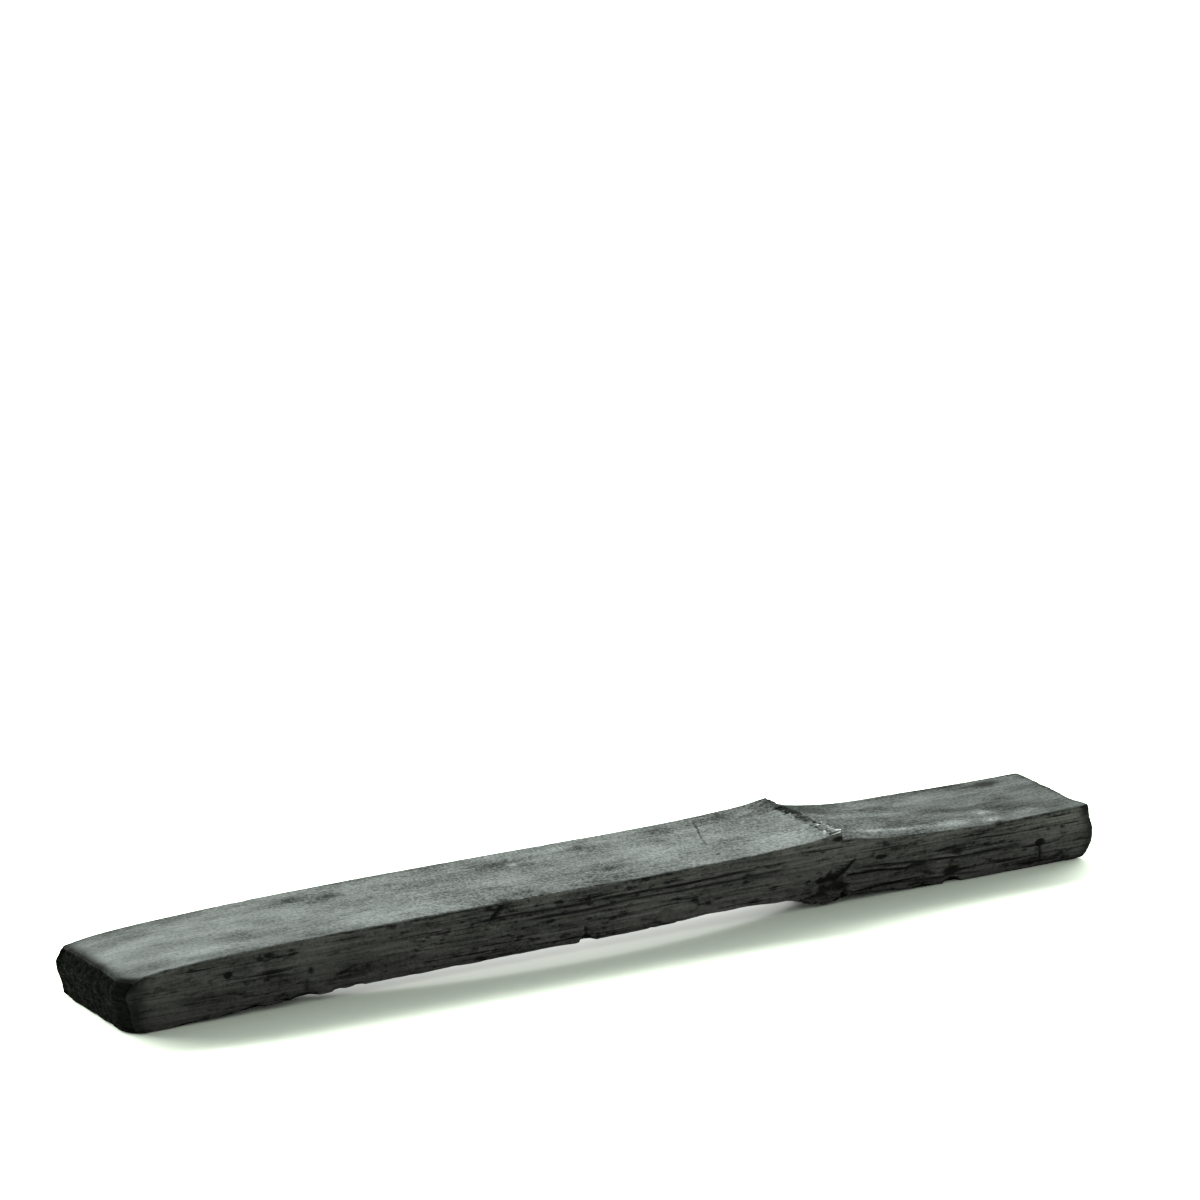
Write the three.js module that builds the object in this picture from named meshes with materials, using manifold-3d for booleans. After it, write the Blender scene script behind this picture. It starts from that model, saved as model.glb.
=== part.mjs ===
// A strip of bamboo charcoal: a split length of culm wall, charred in one piece, with one node.
// Millimetres, +Z up. +X runs along the fibres towards the culm's tip and +Z is the culm's outer skin.
// The origin is the middle of the strip's footprint, on the surface that it lies on.
import * as THREE from 'three';
import { mergeVertices } from 'three/addons/utils/BufferGeometryUtils.js';
import Module from 'manifold-3d';

// Driving dimensions
const LENGTH = 154;
const WIDTH = 19.3;
const WALL = 7.8; // thickness of the culm's wall, away from the node
const EDGE_ROUND = 0.36; // worn radius of every long edge
const CROWN = 0.14; // how far the skin falls away from its middle to its edges
const SCAR_X = 33.7; // the sheath scar, the crest of the node
const SCAR_RUN = 0.5; // length of the steep drop behind the scar
const SCAR_SKEW = 0.5; // the scar's far end lies this much nearer the culm's foot
const SKEW_FADE = 12; // and the skew is gone this far from the scar

// Heights of the skin along the strip, [x, z]: the lower internode flares up to the scar,
// and the upper internode starts below it and dishes down to its thinnest place.
const LOWER_SKIN = [[-77, 7.5], [-69, 8.3], [-60, 8.75], [-46, 9.1], [-15, 9.2], [10, 9.25], [21, 9.5],
  [29.5, 9.95], [SCAR_X, 10.45]];
const UPPER_SKIN = [[SCAR_X, 9.65], [36.2, 9.45], [39, 8.9], [44, 8.35], [54, 7.92], [63, 7.78], [77, 8.1]];
// Heights of the pith side, [x, z]. It arches between two stretches below 0, where it lies flat on the
// surface, and it swells down below the node, where the culm's cross wall broke away.
const PITH_SIDE = [[-77, -0.3], [-72, -0.2], [-66, 0.2], [-60, 0.45], [-46, 0.95], [-25, 1.25], [0, 1.4],
  [17, 1.95], [24.8, 1.75], [30.6, 0.4], [34, 0.62], [39.5, 0.66], [46, 0.35], [51.5, -0.05], [55, -0.25],
  [68, -0.25], [77, -0.2]];
// The strip is a little twisted: how much higher the skin's far edge lies than its near edge, [x, rise].
const LOWER_TWIST = [[-77, -0.4], [-60, -0.25], [-25, 0.1], [20, 0.12], [SCAR_X, 0]];
const UPPER_TWIST = [[SCAR_X, -0.5], [46, -0.3], [58, -0.05], [77, -0.4]];

// Roughness of the charred surfaces: depth, and the length of its grain
const PITH_ROUGH = { depth: 0.12, grain: 4.5, acrossStretch: 1.6 };
const TORN_WALL = { x: 30, half: 7, depth: 0.35, grain: 3.2 }; // the cross wall's torn root, below the node
const SIDE_WAVE = { depth: 0.1, grain: 1.6, alongStretch: 0.25, sideShift: 40 };
// Waves that add up to an unevenness: turns along a and along b, and phase
const WAVES = [[2.1, 1.3, 0], [3.7, -2.9, 1.7], [1.2, 5.3, 4.1]];

// Fibre grooves along the sides: side (-1 near, 1 far), height as a share of the wall, x range and depth.
const GROOVES = [
  { side: -1, up: 0.73, from: -26, to: 22, depth: 0.3 },
  { side: -1, up: 0.6, from: -20, to: 27, depth: 0.26 },
  { side: -1, up: 0.35, from: -15, to: 4, depth: 0.2 },
  { side: -1, up: 0.48, from: 34, to: 66, depth: 0.3 },
  { side: -1, up: 0.14, from: 35, to: 60, depth: 0.2 },
  { side: 1, up: 0.73, from: -58, to: -8, depth: 0.28 },
  { side: 1, up: 0.48, from: -40, to: 18, depth: 0.3 },
  { side: 1, up: 0.35, from: 38, to: 70, depth: 0.25 },
  { side: 1, up: 0.6, from: 2, to: 31, depth: 0.22 },
];
const GROOVE_FADE = 6; // a groove runs out over this length at both ends

// Chips broken out of the long edges: side, whether on the skin or the pith side, x, half length and depth.
const CHIPS = [
  { side: -1, edge: 'skin', x: -19.4, half: 1.1, depth: 0.55 },
  { side: -1, edge: 'pith', x: -6.8, half: 1.3, depth: 0.7 },
  { side: -1, edge: 'pith', x: -49.5, half: 2.2, depth: 0.45 },
  { side: -1, edge: 'pith', x: 52.6, half: 1.6, depth: 0.5 },
  { side: -1, edge: 'skin', x: 60.6, half: 0.9, depth: 0.35 },
  { side: 1, edge: 'pith', x: -31, half: 1.8, depth: 0.4 },
  { side: 1, edge: 'pith', x: 11, half: 2.4, depth: 0.6 },
];
const CHIP_FLOOR = 0.3; // share of a chip's half length that has its full depth

// The broken ends: how far parts of each face stand in from the full length. Places on a face are shares
// of the wall's height, and of the half width, from -1 on the near side to 1 on the far side.
const END_REACH = 6; // the end faces' shape fades out over this length
const LEFT_END = {
  belly: 0.7,
  over: 0.9,
  under: 1.25,
  cornerChip: 1.4,
  cornerFrom: 0.75,
  rough: 0.15,
  grain: 2.4,
};
const RIGHT_END = {
  belly: 0.46,
  overNear: 0.8,
  overFar: 0.1,
  under: 2.6,
  lip: 0.9,
  lipUp: 0.6,
  spurFrom: -0.9,
  spurTo: -0.62,
  rough: 0.12,
  grain: 2.1,
};

// The fringe of snapped sheath fibres that stands along the scar.
const STUB_COUNT = 36;
const STUB_SIDES = 4;
const STUB_RADIUS = 0.25;
const STUB_LENGTH = 2;
const STUB_REACH = 0.4; // mean length that stands out past the crest
const STUB_REACH_SPREAD = 0.5;
const STUB_LIFT = 2; // degrees that a stub points up, give or take the spread
const STUB_LIFT_SPREAD = 6;
const STUB_PLACE_SPREAD = 0.4; // of the spacing between two stubs
const STUB_SEED = 7;
const RANDOM_FACTOR = 16807;
const RANDOM_MODULUS = 2 ** 31 - 1;

// Spacing of the surface's points
const STATION_STEP = 2.3;
const STATION_LEAST = 0.32; // stations nearer together than this are one
const SCAR_STATIONS = [-2, -0.9, 1.5]; // further stations, from the scar
const EDGE_SHARE = EDGE_ROUND / (WIDTH / 2);
const COLUMNS = [-1, -1 + EDGE_SHARE, -0.72, -0.48, -0.24, 0, 0.24, 0.48, 0.72, 1 - EDGE_SHARE, 1];
const ROWS = [0, 0.06, 0.14, 0.24, 0.35, 0.42, 0.48, 0.54, 0.6, 0.67, 0.73, 0.82, 0.94, 1];
const ROW_REACH = 0.045; // a groove cuts only the row that it lies on
const MERGE_WITHIN = 1e-4;

const { clamp, degToRad, lerp, smoothstep } = THREE.MathUtils;

// Height on a line of [x, z] points, joined by a cubic that keeps its slope through each point.
function heightOn(line, x) {
  const last = line.length - 1;
  const at = clamp(line.findIndex(([px]) => px >= x), 1, last);
  const slope = (i) => {
    const [a, b] = [line[Math.max(i - 1, 0)], line[Math.min(i + 1, last)]];
    return (b[1] - a[1]) / (b[0] - a[0]);
  };
  const [[x0, z0], [x1, z1]] = [line[at - 1], line[at]];
  const run = x1 - x0;
  const t = clamp((x - x0) / run, 0, 1);
  const bend0 = slope(at - 1) * run;
  const bend1 = slope(at) * run;
  const [t2, t3] = [t * t, t * t * t];
  return z0 * (2 * t3 - 3 * t2 + 1) + bend0 * (t3 - 2 * t2 + t) + z1 * (3 * t2 - 2 * t3) + bend1 * (t3 - t2);
}

// A rolling unevenness between -1 and 1, with a grain about `grain` long.
function uneven(a, b, grain) {
  const sum = WAVES.reduce((total, [p, q, phase]) => total + Math.sin((p * a + q * b) / grain + phase), 0);
  return sum / WAVES.length;
}

// How strongly x lies within a range that fades at both ends, from 0 to 1.
function within(x, from, to, fade) {
  return smoothstep(x, from, from + fade) * (1 - smoothstep(x, to - fade, to));
}

function skinHeight(x, y) {
  const across = y / (WIDTH / 2);
  const [line, twist] = x <= SCAR_X ? [LOWER_SKIN, LOWER_TWIST] : [UPPER_SKIN, UPPER_TWIST];
  return heightOn(line, x) - CROWN * across * across + heightOn(twist, x) * (across + 1) / 2;
}

function pithHeight(x, y) {
  const offNode = (x - TORN_WALL.x) / TORN_WALL.half;
  const torn = TORN_WALL.depth * Math.exp(-offNode * offNode) * uneven(x, y, TORN_WALL.grain);
  const rough = PITH_ROUGH.depth * uneven(x, y * PITH_ROUGH.acrossStretch, PITH_ROUGH.grain);
  return Math.max(0, heightOn(PITH_SIDE, x) + torn + rough);
}

// How far a long side is cut back at a height that is a share of the wall.
function sideCut(side, x, up) {
  const place = x * SIDE_WAVE.alongStretch + side * SIDE_WAVE.sideShift;
  const waved = SIDE_WAVE.depth * (1 + uneven(place, up * WALL, SIDE_WAVE.grain));
  return GROOVES.filter((g) => g.side === side && Math.abs(g.up - up) < ROW_REACH)
    .reduce((cut, g) => cut + g.depth * within(x, g.from, g.to, GROOVE_FADE), waved);
}

// How deep a chip goes at one of the four long edges.
function chipDepth(side, edge, x) {
  const depths = CHIPS.filter((c) => c.side === side && c.edge === edge)
    .map((c) => c.depth * (1 - smoothstep(Math.abs(x - c.x), c.half * CHIP_FLOOR, c.half)));
  return Math.max(0, ...depths);
}

function endRoughness(end, across, up) {
  return end.rough * (1 + uneven(across * WIDTH / 2, up * WALL, end.grain));
}

// The left end stands out furthest above its middle, slopes in below, and its near corner is chipped off.
function leftEndInset(across, up) {
  const end = LEFT_END;
  const over = end.over * smoothstep(up, end.belly, 1);
  const under = end.under * clamp(1 - up / end.belly, 0, 1);
  const corner = end.cornerChip * smoothstep(-across, end.cornerFrom, 1);
  return over + under + corner + endRoughness(end, across, up);
}

// The right end stands out furthest below its middle, with a round foot. Its upper lip is snapped off,
// which leaves a spur at its near corner.
function rightEndInset(across, up) {
  const end = RIGHT_END;
  const over = lerp(end.overNear, end.overFar, (across + 1) / 2) * smoothstep(up, end.belly, 1);
  const below = clamp(1 - up / end.belly, 0, 1);
  const under = end.under * (1 - Math.sqrt(1 - below * below));
  const snapped = (1 - across) / 2 * smoothstep(across, end.spurFrom, end.spurTo);
  const lip = end.lip * snapped * smoothstep(up, end.lipUp, 1);
  return over + under + lip + endRoughness(end, across, up);
}

// Stations along the strip: even, and closer at the scar, the chips and the ends.
function stationsAlong() {
  const half = LENGTH / 2;
  const steps = Math.round(LENGTH / STATION_STEP);
  const even = Array.from({ length: steps }, (_, i) => -half + i * STATION_STEP);
  const kept = [-half, half, SCAR_X, SCAR_X + SCAR_RUN];
  const fine = [EDGE_ROUND - half, half - EDGE_ROUND, ...SCAR_STATIONS.map((offset) => SCAR_X + offset)];
  CHIPS.forEach(({ x, half: reach }) => {
    fine.push(x - reach, x - reach * CHIP_FLOOR, x + reach * CHIP_FLOOR, x + reach);
  });
  const clear = (x) => kept.every((other) => Math.abs(other - x) >= STATION_LEAST);
  [...fine, ...even].forEach((x) => {
    if (clear(x)) kept.push(x);
  });
  return kept.sort((a, b) => a - b);
}

// Moves a point of the box, given by its station, column and row, to its place on the strip's surface.
function surfacePoint(station, column, row, stations) {
  const [last, lastColumn, lastRow] = [stations.length - 1, COLUMNS.length - 1, ROWS.length - 1];
  const across = COLUMNS[column];
  const up = ROWS[row];
  const along = stations[station];
  // The shape of the ends and the scar's skew reach a little way along, so that the stations stay in order.
  const leftShare = 1 - smoothstep(along, -LENGTH / 2, END_REACH - LENGTH / 2);
  const rightShare = smoothstep(along, LENGTH / 2 - END_REACH, LENGTH / 2);
  const skew = SCAR_SKEW * (across + 1) / 2 * (1 - smoothstep(Math.abs(along - SCAR_X), 0, SKEW_FADE));
  let x = along + leftEndInset(across, up) * leftShare - rightEndInset(across, up) * rightShare - skew;
  let y = across * (WIDTH / 2);
  const pith = pithHeight(along, y);
  let z = pith + up * (skinHeight(along, y) - pith);

  const onSide = column === 0 || column === lastColumn;
  const side = Math.sign(across);
  if (onSide) y -= side * sideCut(side, along, up);
  if (onSide && row === lastRow) {
    const chip = chipDepth(side, 'skin', along);
    y -= side * chip;
    z -= chip;
  }
  if (onSide && row === 0) {
    const chip = chipDepth(side, 'pith', along);
    y -= side * chip;
    z += chip;
  }

  // Every outer edge is worn round: its points are pulled back to the middle of the arc.
  const outer = [station === 0 || station === last, onSide, row === 0 || row === lastRow];
  const count = outer.filter(Boolean).length;
  const pull = count > 1 ? EDGE_ROUND * (1 - 1 / Math.sqrt(count)) : 0;
  if (outer[0]) x -= Math.sign(x) * pull;
  if (outer[1]) y -= side * pull;
  if (outer[2]) z += row === 0 ? pull : -pull;
  return [x, y, z];
}

// Keeps only a geometry's places, with the points that faces share made one.
function withSharedPoints(geometry) {
  geometry.deleteAttribute('normal');
  geometry.deleteAttribute('uv');
  return mergeVertices(geometry, MERGE_WITHIN);
}

// The strip itself: a finely divided box whose points are moved onto the charred surface.
function stripGeometry() {
  const stations = stationsAlong();
  const [nx, ny, nz] = [stations.length - 1, COLUMNS.length - 1, ROWS.length - 1];
  const box = new THREE.BoxGeometry(1, 1, 1, nx, ny, nz);
  const points = box.getAttribute('position');
  const indexOf = (value, cells) => Math.round((value + 0.5) * cells);
  for (let i = 0; i < points.count; i += 1) {
    const station = indexOf(points.getX(i), nx);
    const column = indexOf(points.getY(i), ny);
    const row = indexOf(points.getZ(i), nz);
    points.setXYZ(i, ...surfacePoint(station, column, row, stations));
  }
  return withSharedPoints(box);
}

// A repeatable random number between 0 and 1.
function seededRandom(seed) {
  let state = seed;
  return () => {
    state = (state * RANDOM_FACTOR) % RANDOM_MODULUS;
    return state / RANDOM_MODULUS;
  };
}

// One snapped fibre: a spike along +X, its root sunk in the node and its tip past the crest.
function stubGeometry(y, reach, lift) {
  const spike = new THREE.ConeGeometry(STUB_RADIUS, STUB_LENGTH, STUB_SIDES);
  spike.translate(0, -STUB_LENGTH / 2, 0);
  spike.rotateZ(lift - Math.PI / 2);
  const skew = SCAR_SKEW * (y / WIDTH + 0.5);
  spike.translate(SCAR_X - skew + reach, y, skinHeight(SCAR_X, y) - STUB_RADIUS / 2);
  return withSharedPoints(spike);
}

const wasm = await Module();
wasm.setup();

function solidOf(geometry) {
  const vertProperties = new Float32Array(geometry.getAttribute('position').array);
  const triVerts = new Uint32Array(geometry.index.array);
  return new wasm.Manifold(new wasm.Mesh({ numProp: 3, vertProperties, triVerts }));
}

function geometryOf(solid) {
  const { vertProperties, triVerts } = solid.getMesh();
  const geometry = new THREE.BufferGeometry();
  geometry.setAttribute('position', new THREE.BufferAttribute(vertProperties, 3));
  geometry.setIndex(new THREE.BufferAttribute(triVerts, 1));
  return geometry;
}

// The strip with its fringe grown on, set with its footprint's middle at the origin.
function charcoalGeometry() {
  const random = seededRandom(STUB_SEED);
  const give = (mean, spread) => mean + spread * (random() - 0.5);
  const reachAcross = WIDTH / 2 - 2 * EDGE_ROUND;
  let solid = solidOf(stripGeometry());
  for (let i = 0; i < STUB_COUNT; i += 1) {
    const y = lerp(-reachAcross, reachAcross, give(i + 0.5, STUB_PLACE_SPREAD) / STUB_COUNT);
    const reach = give(STUB_REACH, STUB_REACH_SPREAD);
    const lift = degToRad(give(STUB_LIFT, STUB_LIFT_SPREAD));
    solid = solid.add(solidOf(stubGeometry(y, reach, lift)));
  }
  const geometry = geometryOf(solid);
  geometry.computeBoundingBox();
  const { min, max } = geometry.boundingBox;
  geometry.translate(-(min.x + max.x) / 2, -(min.y + max.y) / 2, -min.z);
  geometry.computeVertexNormals();
  return geometry;
}

const charcoal = new THREE.MeshStandardMaterial({ color: 0x4a4d4b, roughness: 0.85, metalness: 0 });
const strip = new THREE.Mesh(charcoalGeometry(), charcoal);
strip.name = 'charcoal_strip';

const part = new THREE.Group();
part.add(strip);

export default part;
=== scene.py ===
"""A strip of bamboo charcoal: a split length of culm wall, charred in one piece, with one node.

The form and relief classes work in millimetres, as the strip was measured. Meshes, lights and the
camera are in metres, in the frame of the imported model.
"""
import logging
import math
import random
from dataclasses import dataclass
from enum import Enum
from itertools import product

import bmesh
import bpy
import numpy as np
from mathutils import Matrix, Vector


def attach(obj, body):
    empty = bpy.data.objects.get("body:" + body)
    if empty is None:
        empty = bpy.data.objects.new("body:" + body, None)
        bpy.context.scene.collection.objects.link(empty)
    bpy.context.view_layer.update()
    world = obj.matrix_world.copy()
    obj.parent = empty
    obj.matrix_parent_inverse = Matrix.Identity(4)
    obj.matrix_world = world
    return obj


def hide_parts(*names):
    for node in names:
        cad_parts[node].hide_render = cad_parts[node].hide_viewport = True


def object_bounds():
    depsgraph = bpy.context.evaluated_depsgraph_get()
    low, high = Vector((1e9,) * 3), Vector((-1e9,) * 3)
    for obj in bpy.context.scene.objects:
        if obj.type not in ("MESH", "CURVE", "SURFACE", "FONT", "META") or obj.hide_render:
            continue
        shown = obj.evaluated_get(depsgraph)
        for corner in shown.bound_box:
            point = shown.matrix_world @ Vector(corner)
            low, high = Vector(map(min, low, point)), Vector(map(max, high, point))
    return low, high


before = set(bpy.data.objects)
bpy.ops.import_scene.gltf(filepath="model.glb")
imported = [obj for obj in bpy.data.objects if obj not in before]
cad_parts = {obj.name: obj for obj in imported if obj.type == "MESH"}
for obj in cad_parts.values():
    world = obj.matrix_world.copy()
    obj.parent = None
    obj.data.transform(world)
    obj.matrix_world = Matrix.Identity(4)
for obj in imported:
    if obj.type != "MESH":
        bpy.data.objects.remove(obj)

CAD_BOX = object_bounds()
STRIP_NODE = "charcoal_strip"
STRIP_BODY = "root"
MM = 0.001

LOG = logging.getLogger("bamboo_charcoal")
Array = np.ndarray
Line = tuple[tuple[float, float], ...]
Colour = tuple[float, float, float, float]


class Side(Enum):
    """A long split side of the strip."""

    NEAR = -1
    FAR = 1


class Edge(Enum):
    """Which of a side's two long edges."""

    SKIN = 1
    PITH = 0


class Surface(Enum):
    """The strip's finishes, in the order of its material slots."""

    CUTICLE = 0
    SPLIT = 1
    TORN = 2


# Numbers of a hash that gives each lattice point a repeatable value
HASH_AXES = (73856093, 19349663, 83492791)
HASH_SEED = 2971215073
HASH_FACTOR = 0x45D9F3B
HASH_MASK = 0xFFFFFFFF
HASH_SHIFT = 16
# Waves that add up to the solid's unevenness: turns along a and along b, and phase
WAVES = ((2.1, 1.3, 0.0), (3.7, -2.9, 1.7), (1.2, 5.3, 4.1))


def smoothstep(value: Array, low: float, high: float) -> Array:
    """Eases from 0 at low to 1 at high."""
    share = np.clip((value - low) / (high - low), 0.0, 1.0)
    return share * share * (3.0 - 2.0 * share)


def within(value: Array, start: float, stop: float, fade: float) -> Array:
    """How strongly a value lies in a range that fades at both ends, from 0 to 1."""
    return smoothstep(value, start, start + fade) * (1.0 - smoothstep(value, stop - fade, stop))


def uneven(a: Array, b: Array, grain: float) -> Array:
    """A rolling unevenness between -1 and 1, with a grain about so long."""
    waves = [np.sin((p * a + q * b) / grain + phase) for p, q, phase in WAVES]
    return sum(waves) / len(waves)


def height_on(line: Line, x: Array) -> Array:
    """Height on a line of points, joined by a cubic that keeps its slope through each point.

    Args:
        line: points of the line, each with its place and its height.
        x: places to read.

    Returns:
        The height at each place.
    """
    knots, heights = np.array(line).T
    slopes = np.gradient(heights)
    slopes[1:-1] = (heights[2:] - heights[:-2]) / (knots[2:] - knots[:-2])
    slopes[0] = (heights[1] - heights[0]) / (knots[1] - knots[0])
    slopes[-1] = (heights[-1] - heights[-2]) / (knots[-1] - knots[-2])
    at = np.clip(np.searchsorted(knots, x), 1, len(knots) - 1)
    run = knots[at] - knots[at - 1]
    t = np.clip((x - knots[at - 1]) / run, 0.0, 1.0)
    start = heights[at - 1] * (2 * t**3 - 3 * t**2 + 1) + slopes[at - 1] * run * (t**3 - 2 * t**2 + t)
    return start + heights[at] * (3 * t**2 - 2 * t**3) + slopes[at] * run * (t**3 - t**2)


def hashed(cells: Array, seed: int) -> Array:
    """A repeatable number between 0 and 1 for each lattice point.

    Args:
        cells: whole-number lattice points, one row of three each.
        seed: which of many patterns.

    Returns:
        One number for each point.
    """
    key = seed * HASH_SEED & HASH_MASK
    for axis, factor in enumerate(HASH_AXES):
        key = key ^ (cells[:, axis] * factor & HASH_MASK)
    for _ in range(2):
        key = ((key >> HASH_SHIFT) ^ key) * HASH_FACTOR & HASH_MASK
    return ((key >> HASH_SHIFT) ^ key) / HASH_MASK


def lattice_noise(places: Array, seed: int) -> Array:
    """Smooth noise from 0 to 1, with a grain one unit wide, at points given as rows of three."""
    cells = np.floor(places).astype(np.int64)
    part = places - cells
    part = part * part * (3.0 - 2.0 * part)
    total = np.zeros(len(places))
    for corner in product((0, 1), repeat=3):
        weight = np.prod(np.where(np.array(corner) == 1, part, 1.0 - part), axis=1)
        total += weight * hashed(cells + np.array(corner), seed)
    return total


def fractal(a: Array, b: Array, c: Array | float, seed: int, octaves: int = 3) -> Array:
    """Noise from 0 to 1 that adds finer and weaker layers.

    Args:
        a: first coordinate, in grains.
        b: second coordinate, in grains.
        c: third coordinate, in grains, or one value for all.
        seed: which of many patterns.
        octaves: how many layers.

    Returns:
        One number for each point.
    """
    places = np.stack(np.broadcast_arrays(a, b, c), axis=1).astype(float)
    layers = [lattice_noise(places * 2**i, seed + i) * 0.5**i for i in range(octaves)]
    return sum(layers) / sum(0.5**i for i in range(octaves))


def fibre_bundles(a: Array, b: Array, seed: int) -> tuple[Array, Array]:
    """Splits a plane into one cell round each of many scattered fibre bundles.

    Args:
        a: first coordinate, in bundles.
        b: second coordinate, in bundles.
        seed: which of many patterns.

    Returns:
        The distance to the nearest bundle's middle, and a number between 0 and 1 that is that bundle's own.
    """
    cells = np.stack((np.floor(a), np.floor(b), np.zeros_like(a)), axis=1).astype(np.int64)
    nearest = np.full(len(a), np.inf)
    own = np.zeros(len(a))
    for step in product((-1, 0, 1), repeat=2):
        cell = cells + np.array((*step, 0))
        middle_a = cell[:, 0] + hashed(cell, seed)
        middle_b = cell[:, 1] + hashed(cell, seed + 1)
        distance = np.hypot(a - middle_a, b - middle_b)
        closer = distance < nearest
        nearest = np.where(closer, distance, nearest)
        own = np.where(closer, hashed(cell, seed + 2), own)
    return nearest, own


@dataclass(frozen=True)
class CulmForm:
    """The strip's main form, as its solid has it, in millimetres."""

    length: float = 154.0
    width: float = 19.3
    wall: float = 7.8
    crown: float = 0.14
    scar_x: float = 33.7
    scar_run: float = 0.3
    scar_skew: float = 0.5
    skew_fade: float = 12.0
    end_reach: float = 6.0
    lower_skin: Line = (
        (-77, 7.5), (-69, 8.3), (-60, 8.75), (-46, 9.1), (-15, 9.2), (10, 9.25), (21, 9.5),
        (29.5, 9.95), (33.7, 10.45),
    )
    upper_skin: Line = (
        (33.7, 9.4), (36.2, 9.3), (39, 8.87), (44, 8.35), (54, 7.92), (63, 7.78), (77, 8.1),
    )
    pith_side: Line = (
        (-77, -0.3), (-72, -0.2), (-66, 0.2), (-60, 0.45), (-46, 0.95), (-25, 1.25), (0, 1.4),
        (17, 1.95), (24.8, 1.75), (30.6, 0.4), (34, 0.62), (39.5, 0.66), (46, 0.35), (51.5, -0.05),
        (55, -0.25), (68, -0.25), (77, -0.2),
    )
    lower_twist: Line = ((-77, -0.4), (-60, -0.25), (-25, 0.1), (20, 0.12), (33.7, 0))
    upper_twist: Line = ((33.7, -0.1), (46, -0.3), (58, -0.05), (77, -0.4))
    crest_lift: float = 0.17
    crest_run: float = 2.5
    pith_depth: float = 0.12
    pith_grain: float = 4.5
    pith_stretch: float = 1.6
    torn_x: float = 30.0
    torn_half: float = 7.0
    torn_depth: float = 0.35
    torn_grain: float = 3.2

    def skin_height(self, x: Array, y: Array, ragged: Array | float = 0.0) -> Array:
        """Height of the skin.

        Args:
            x: place along the strip.
            y: place across the strip.
            ragged: how far the scar's drop lies past its mean line there.

        Returns:
            The height at each place.
        """
        across = y / (self.width / 2)
        lower = height_on(self.lower_skin, x) + height_on(self.lower_twist, x) * (across + 1) / 2
        upper = height_on(self.upper_skin, x) + height_on(self.upper_twist, x) * (across + 1) / 2
        start = self.scar_x + ragged
        lower += self.crest_lift * np.exp(-((x - start) / self.crest_run) ** 2) * (0.6 + 0.4 * across**2)
        drop = np.clip((x - start) / self.scar_run, 0.0, 1.0)
        return lower * (1.0 - drop) + upper * drop - self.crown * across**2

    def pith_height(self, x: Array, y: Array) -> Array:
        """Height of the pith side, which lies flat where it rests."""
        off_node = (x - self.torn_x) / self.torn_half
        torn = self.torn_depth * np.exp(-off_node**2) * uneven(x, y, self.torn_grain)
        rough = self.pith_depth * uneven(x, y * self.pith_stretch, self.pith_grain)
        return np.maximum(0.0, height_on(self.pith_side, x) + torn + rough)

    def scar_offset(self, x: Array, y: Array) -> Array:
        """How far the scar's skew moves a point towards the culm's foot."""
        share = 1.0 - smoothstep(np.abs(x - self.scar_x), 0.0, self.skew_fade)
        return self.scar_skew * (y / self.width + 0.5) * share


@dataclass(frozen=True)
class BrokenEnds:
    """How far the two broken ends stand in from the strip's full length, in millimetres.

    Places on an end are shares of the wall's height, and of the half width from near to far.
    """

    left_belly: float = 0.7
    left_over: float = 0.9
    left_under: float = 1.25
    corner_chip: float = 1.4
    corner_from: float = 0.75
    left_rough: float = 0.15
    left_grain: float = 2.4
    right_belly: float = 0.46
    over_near: float = 0.8
    over_far: float = 0.1
    right_under: float = 2.6
    lip: float = 0.9
    lip_up: float = 0.6
    spur_from: float = -0.9
    spur_to: float = -0.62
    right_rough: float = 0.12
    right_grain: float = 2.1

    def left_inset(self, form: CulmForm, across: Array, up: Array) -> Array:
        """Inset of the left end, which slopes in below its belly, with its near corner chipped off."""
        over = self.left_over * smoothstep(up, self.left_belly, 1.0)
        under = self.left_under * np.clip(1.0 - up / self.left_belly, 0.0, 1.0)
        corner = self.corner_chip * smoothstep(-across, self.corner_from, 1.0)
        rough = 1.0 + uneven(across * form.width / 2, up * form.wall, self.left_grain)
        return over + under + corner + self.left_rough * rough

    def right_inset(self, form: CulmForm, across: Array, up: Array) -> Array:
        """Inset of the right end, with a round foot, and a snapped lip with a spur at its near corner."""
        far = (across + 1.0) / 2.0
        most = self.over_near + (self.over_far - self.over_near) * far
        over = most * smoothstep(up, self.right_belly, 1.0)
        below = np.clip(1.0 - up / self.right_belly, 0.0, 1.0)
        under = self.right_under * (1.0 - np.sqrt(1.0 - below**2))
        lip = self.lip * (1.0 - far) * smoothstep(across, self.spur_from, self.spur_to)
        lip = lip * smoothstep(up, self.lip_up, 1.0)
        rough = 1.0 + uneven(across * form.width / 2, up * form.wall, self.right_grain)
        return over + under + lip + self.right_rough * rough


@dataclass(frozen=True)
class Groove:
    """A groove between fibres along a side, at a share of the wall's height."""

    side: Side
    up: float
    start: float
    stop: float
    depth: float
    half: float = 0.26


@dataclass(frozen=True)
class Chip:
    """A chip broken out of a long edge."""

    side: Side
    edge: Edge
    x: float
    half: float
    depth: float


@dataclass(frozen=True)
class Crack:
    """A crack along a few points: on a side x and height, on the skin x and y."""

    points: Line
    half: float
    depth: float
    lip: float = 0.0


@dataclass(frozen=True)
class Pit:
    """A round hollow in a side, at x and height."""

    side: Side
    x: float
    height: float
    long: float
    tall: float
    depth: float


@dataclass(frozen=True)
class Mark:
    """A soft-edged mark on the skin: a dark stain or a smudge of pale ash."""

    x: float
    y: float
    long: float
    wide: float
    strength: float


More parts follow.
